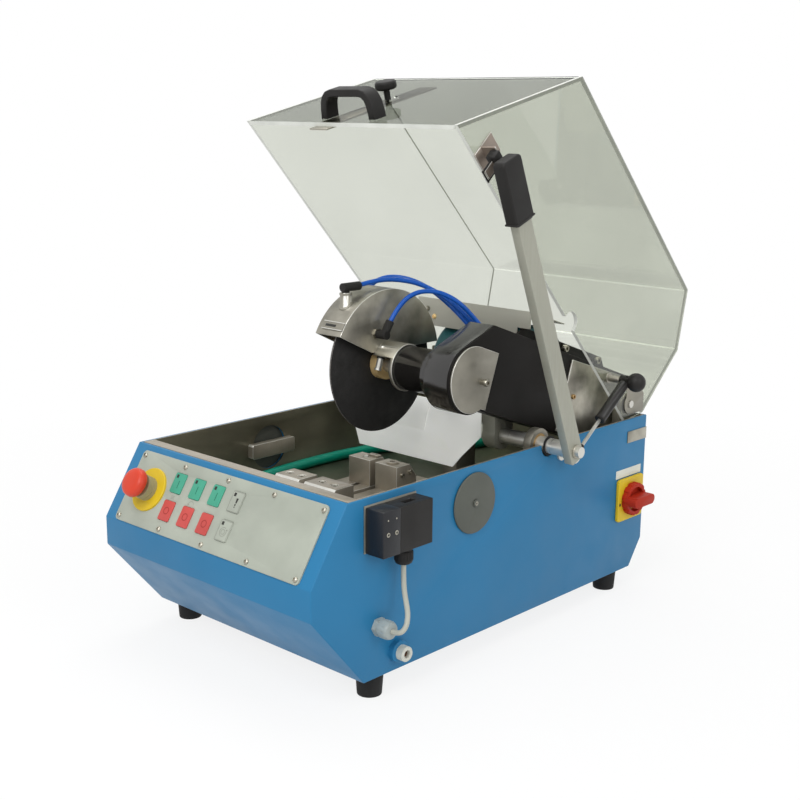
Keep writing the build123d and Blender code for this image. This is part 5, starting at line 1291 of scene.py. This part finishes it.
class CUTTER_OT_hood(bpy.types.Operator):
    """Builds the clear hood, its handle, latch, hinges and gas strut"""

    bl_idname = "cutter.hood"
    bl_label = "Hood"

    def execute(self, context):
        softened({
            "hood_wrap": ("clear_acrylic", 0.0, 0, wrap_edges),
            "hood_sides": ("clear_acrylic", 0.0, 0, side_edges),
        })
        hood_folds()
        hood_handle()
        softened({
            "hood_latch": ("stainless", 0.3, 2, latch_knob),
            "hood_fittings": ("bracket_steel", 0.5, 2, thin_edges),
        })
        switch_key()
        dressed({"pivot_pins": "ground_steel"})
        softened({
            "hinge_brackets": ("cover_steel", 0.5), "strut_tube": ("strut_black", 0.4, 2, strut_knob),
        })
        rod_end = [(2.2, 0), (4, 0), (4, 8), (3.2, 9.5), (2.2, 9.5)]
        rod = Shape("strut_rod", "ground_steel", width=0.2)
        rod.turned(strut_at(11), rod_end, "black_plastic", segments=28)
        rod.done()
        tube_end = [(2.5, 0), (6.4, 0), (7.2, 0.8), (7.2, 3), (2.5, 3)]
        gland = Shape()
        gland.turned(strut_at(66), tube_end, "black_plastic", segments=36)
        gland.done("strut_gland", body_of("strut_tube"))
        return {"FINISHED"}


def background_seen(tree):
    """One for rays that show the background: straight from the camera, mirrored or through the hood."""
    path = tree.nodes.new("ShaderNodeLightPath").outputs
    total = path["Is Camera Ray"]
    for name in ("Is Glossy Ray", "Is Transmission Ray"):
        total = output_of(tree, "ShaderNodeMath", {0: total, 1: path[name]}, operation="MAXIMUM")
    return total


def studio_floor(scene):
    """A pale floor that shows as white and keeps a soft shadow of the object."""
    half = scene.cutter_sizes.floor_half
    mesh = bpy.data.meshes.new("floor")
    corners = [(-half, -half, 0), (half, -half, 0), (half, half, 0), (-half, half, 0)]
    mesh.from_pydata(corners, [], [(0, 1, 2, 3)])
    material, tree, shader = new_material("fin_floor")
    pale = tinted(tree, noise(tree, 0.8), scene.cutter_colours.backdrop, low=0.99, high=1.0)
    set_inputs(tree, shader, {"Base Color": pale, "Roughness": 0.9})
    white = output_of(tree, "ShaderNodeEmission", {"Color": (1, 1, 1, 1), "Strength": 1.0})
    spot = tree.nodes.new("ShaderNodeTexCoord").outputs["Object"]
    away = add_node(tree, "ShaderNodeVectorMath", {0: spot}, operation="LENGTH").outputs["Value"]
    level = spread(tree, away, low=0.84, high=1.0, start=0.45, end=1.3)
    covered(tree, times(tree, background_seen(tree), level), white)
    mesh.materials.append(material)
    floor = linked("floor", mesh)


def surroundings(scene):
    """A white background and a softer level of light from all round."""
    world = bpy.data.worlds.new("studio")
    scene.world = world
    world.use_nodes = True
    tree = world.node_tree
    tree.nodes.clear()
    white = output_of(tree, "ShaderNodeBackground", {"Color": (1, 1, 1, 1), "Strength": 1.0})
    soft = output_of(tree, "ShaderNodeBackground", {"Color": (0.97, 0.98, 1.0, 1.0), "Strength": 0.55})
    mix = output_of(tree, "ShaderNodeMixShader", {"Fac": background_seen(tree), 1: soft, 2: white})
    add_node(tree, "ShaderNodeOutputWorld", {"Surface": mix})


def photo_camera(scene):
    """The camera fitted to the photograph's edges."""
    azimuth = math.radians(43.01)
    elevation = math.radians(12.79)
    roll = math.radians(0.5)
    aim = Vector((33.34, -46.54, 293.25)) * MM
    distance = 1636.88 * MM
    focal_share = 1288.52 / 800.0
    lens = bpy.data.cameras.new("camera")
    lens.sensor_width = 36.0
    lens.lens = lens.sensor_width * focal_share
    eye = linked("camera", lens)
    turn = Matrix.Rotation(azimuth, 4, "Z") @ Matrix.Rotation(math.pi / 2 - elevation, 4, "X")
    away = Matrix.Rotation(roll, 4, "Z") @ Matrix.Translation((0, 0, distance))
    eye.matrix_world = Matrix.Translation(aim) @ turn @ away
    scene.camera = eye


class CUTTER_OT_stage(bpy.types.Operator):
    """Sets the floor, the studio light, the white surroundings and the camera"""

    bl_idname = "cutter.stage"
    bl_label = "Stage"

    def execute(self, context):
        scene = context.scene
        studio_floor(scene)
        middle = Vector((0.0, 0.0, 0.3))
        lights = [
            ("key_light", (0.7, -2.3, 2.5), 2.0, 52.0),
            ("side_light", (2.8, -0.2, 1.9), 2.0, 22.0),
            ("top_light", (-0.6, 0.5, 3.2), 2.4, 34.0),
        ]
        for name, spot, size, power in lights:
            lamp = bpy.data.lights.new(name, "AREA")
            lamp.shape = "DISK"
            lamp.size = size
            lamp.energy = power
            item = linked(name, lamp)
            item.location = spot
            item.rotation_euler = (middle - Vector(spot)).to_track_quat("-Z", "Y").to_euler()
        surroundings(scene)
        photo_camera(scene)
        scene.view_settings.view_transform = "Standard"
        return {"FINISHED"}


class CUTTER_PT_sidebar(bpy.types.Panel):
    """Lists the piece groups of the cutting machine"""

    bl_idname = "CUTTER_PT_sidebar"
    bl_label = "Cutting machine"
    bl_space_type = "VIEW_3D"
    bl_region_type = "UI"
    bl_category = "Cutter"

    def draw(self, context):
        for operator in OPERATORS:
            self.layout.operator(operator.bl_idname)


OPERATORS = (
    CUTTER_OT_stage,
    CUTTER_OT_cords,
    CUTTER_OT_casing,
    CUTTER_OT_control_panel,
    CUTTER_OT_wall_fittings,
    CUTTER_OT_arm,
    CUTTER_OT_table,
    CUTTER_OT_hood,
)
CLASSES = (CutterColours, CutterSizes) + OPERATORS + (CUTTER_PT_sidebar,)


def register():
    for item in CLASSES:
        bpy.utils.register_class(item)
    bpy.types.Scene.cutter_colours = PointerProperty(type=CutterColours)
    bpy.types.Scene.cutter_sizes = PointerProperty(type=CutterSizes)


def unregister():
    del bpy.types.Scene.cutter_sizes
    del bpy.types.Scene.cutter_colours
    for item in reversed(CLASSES):
        bpy.utils.unregister_class(item)


def main():
    register()
    bpy.ops.cutter.stage()
    bpy.ops.cutter.cords()
    bpy.ops.cutter.casing()
    bpy.ops.cutter.control_panel()
    bpy.ops.cutter.wall_fittings()
    bpy.ops.cutter.arm()
    bpy.ops.cutter.table()
    bpy.ops.cutter.hood()


if __name__ == "__main__":
    main()
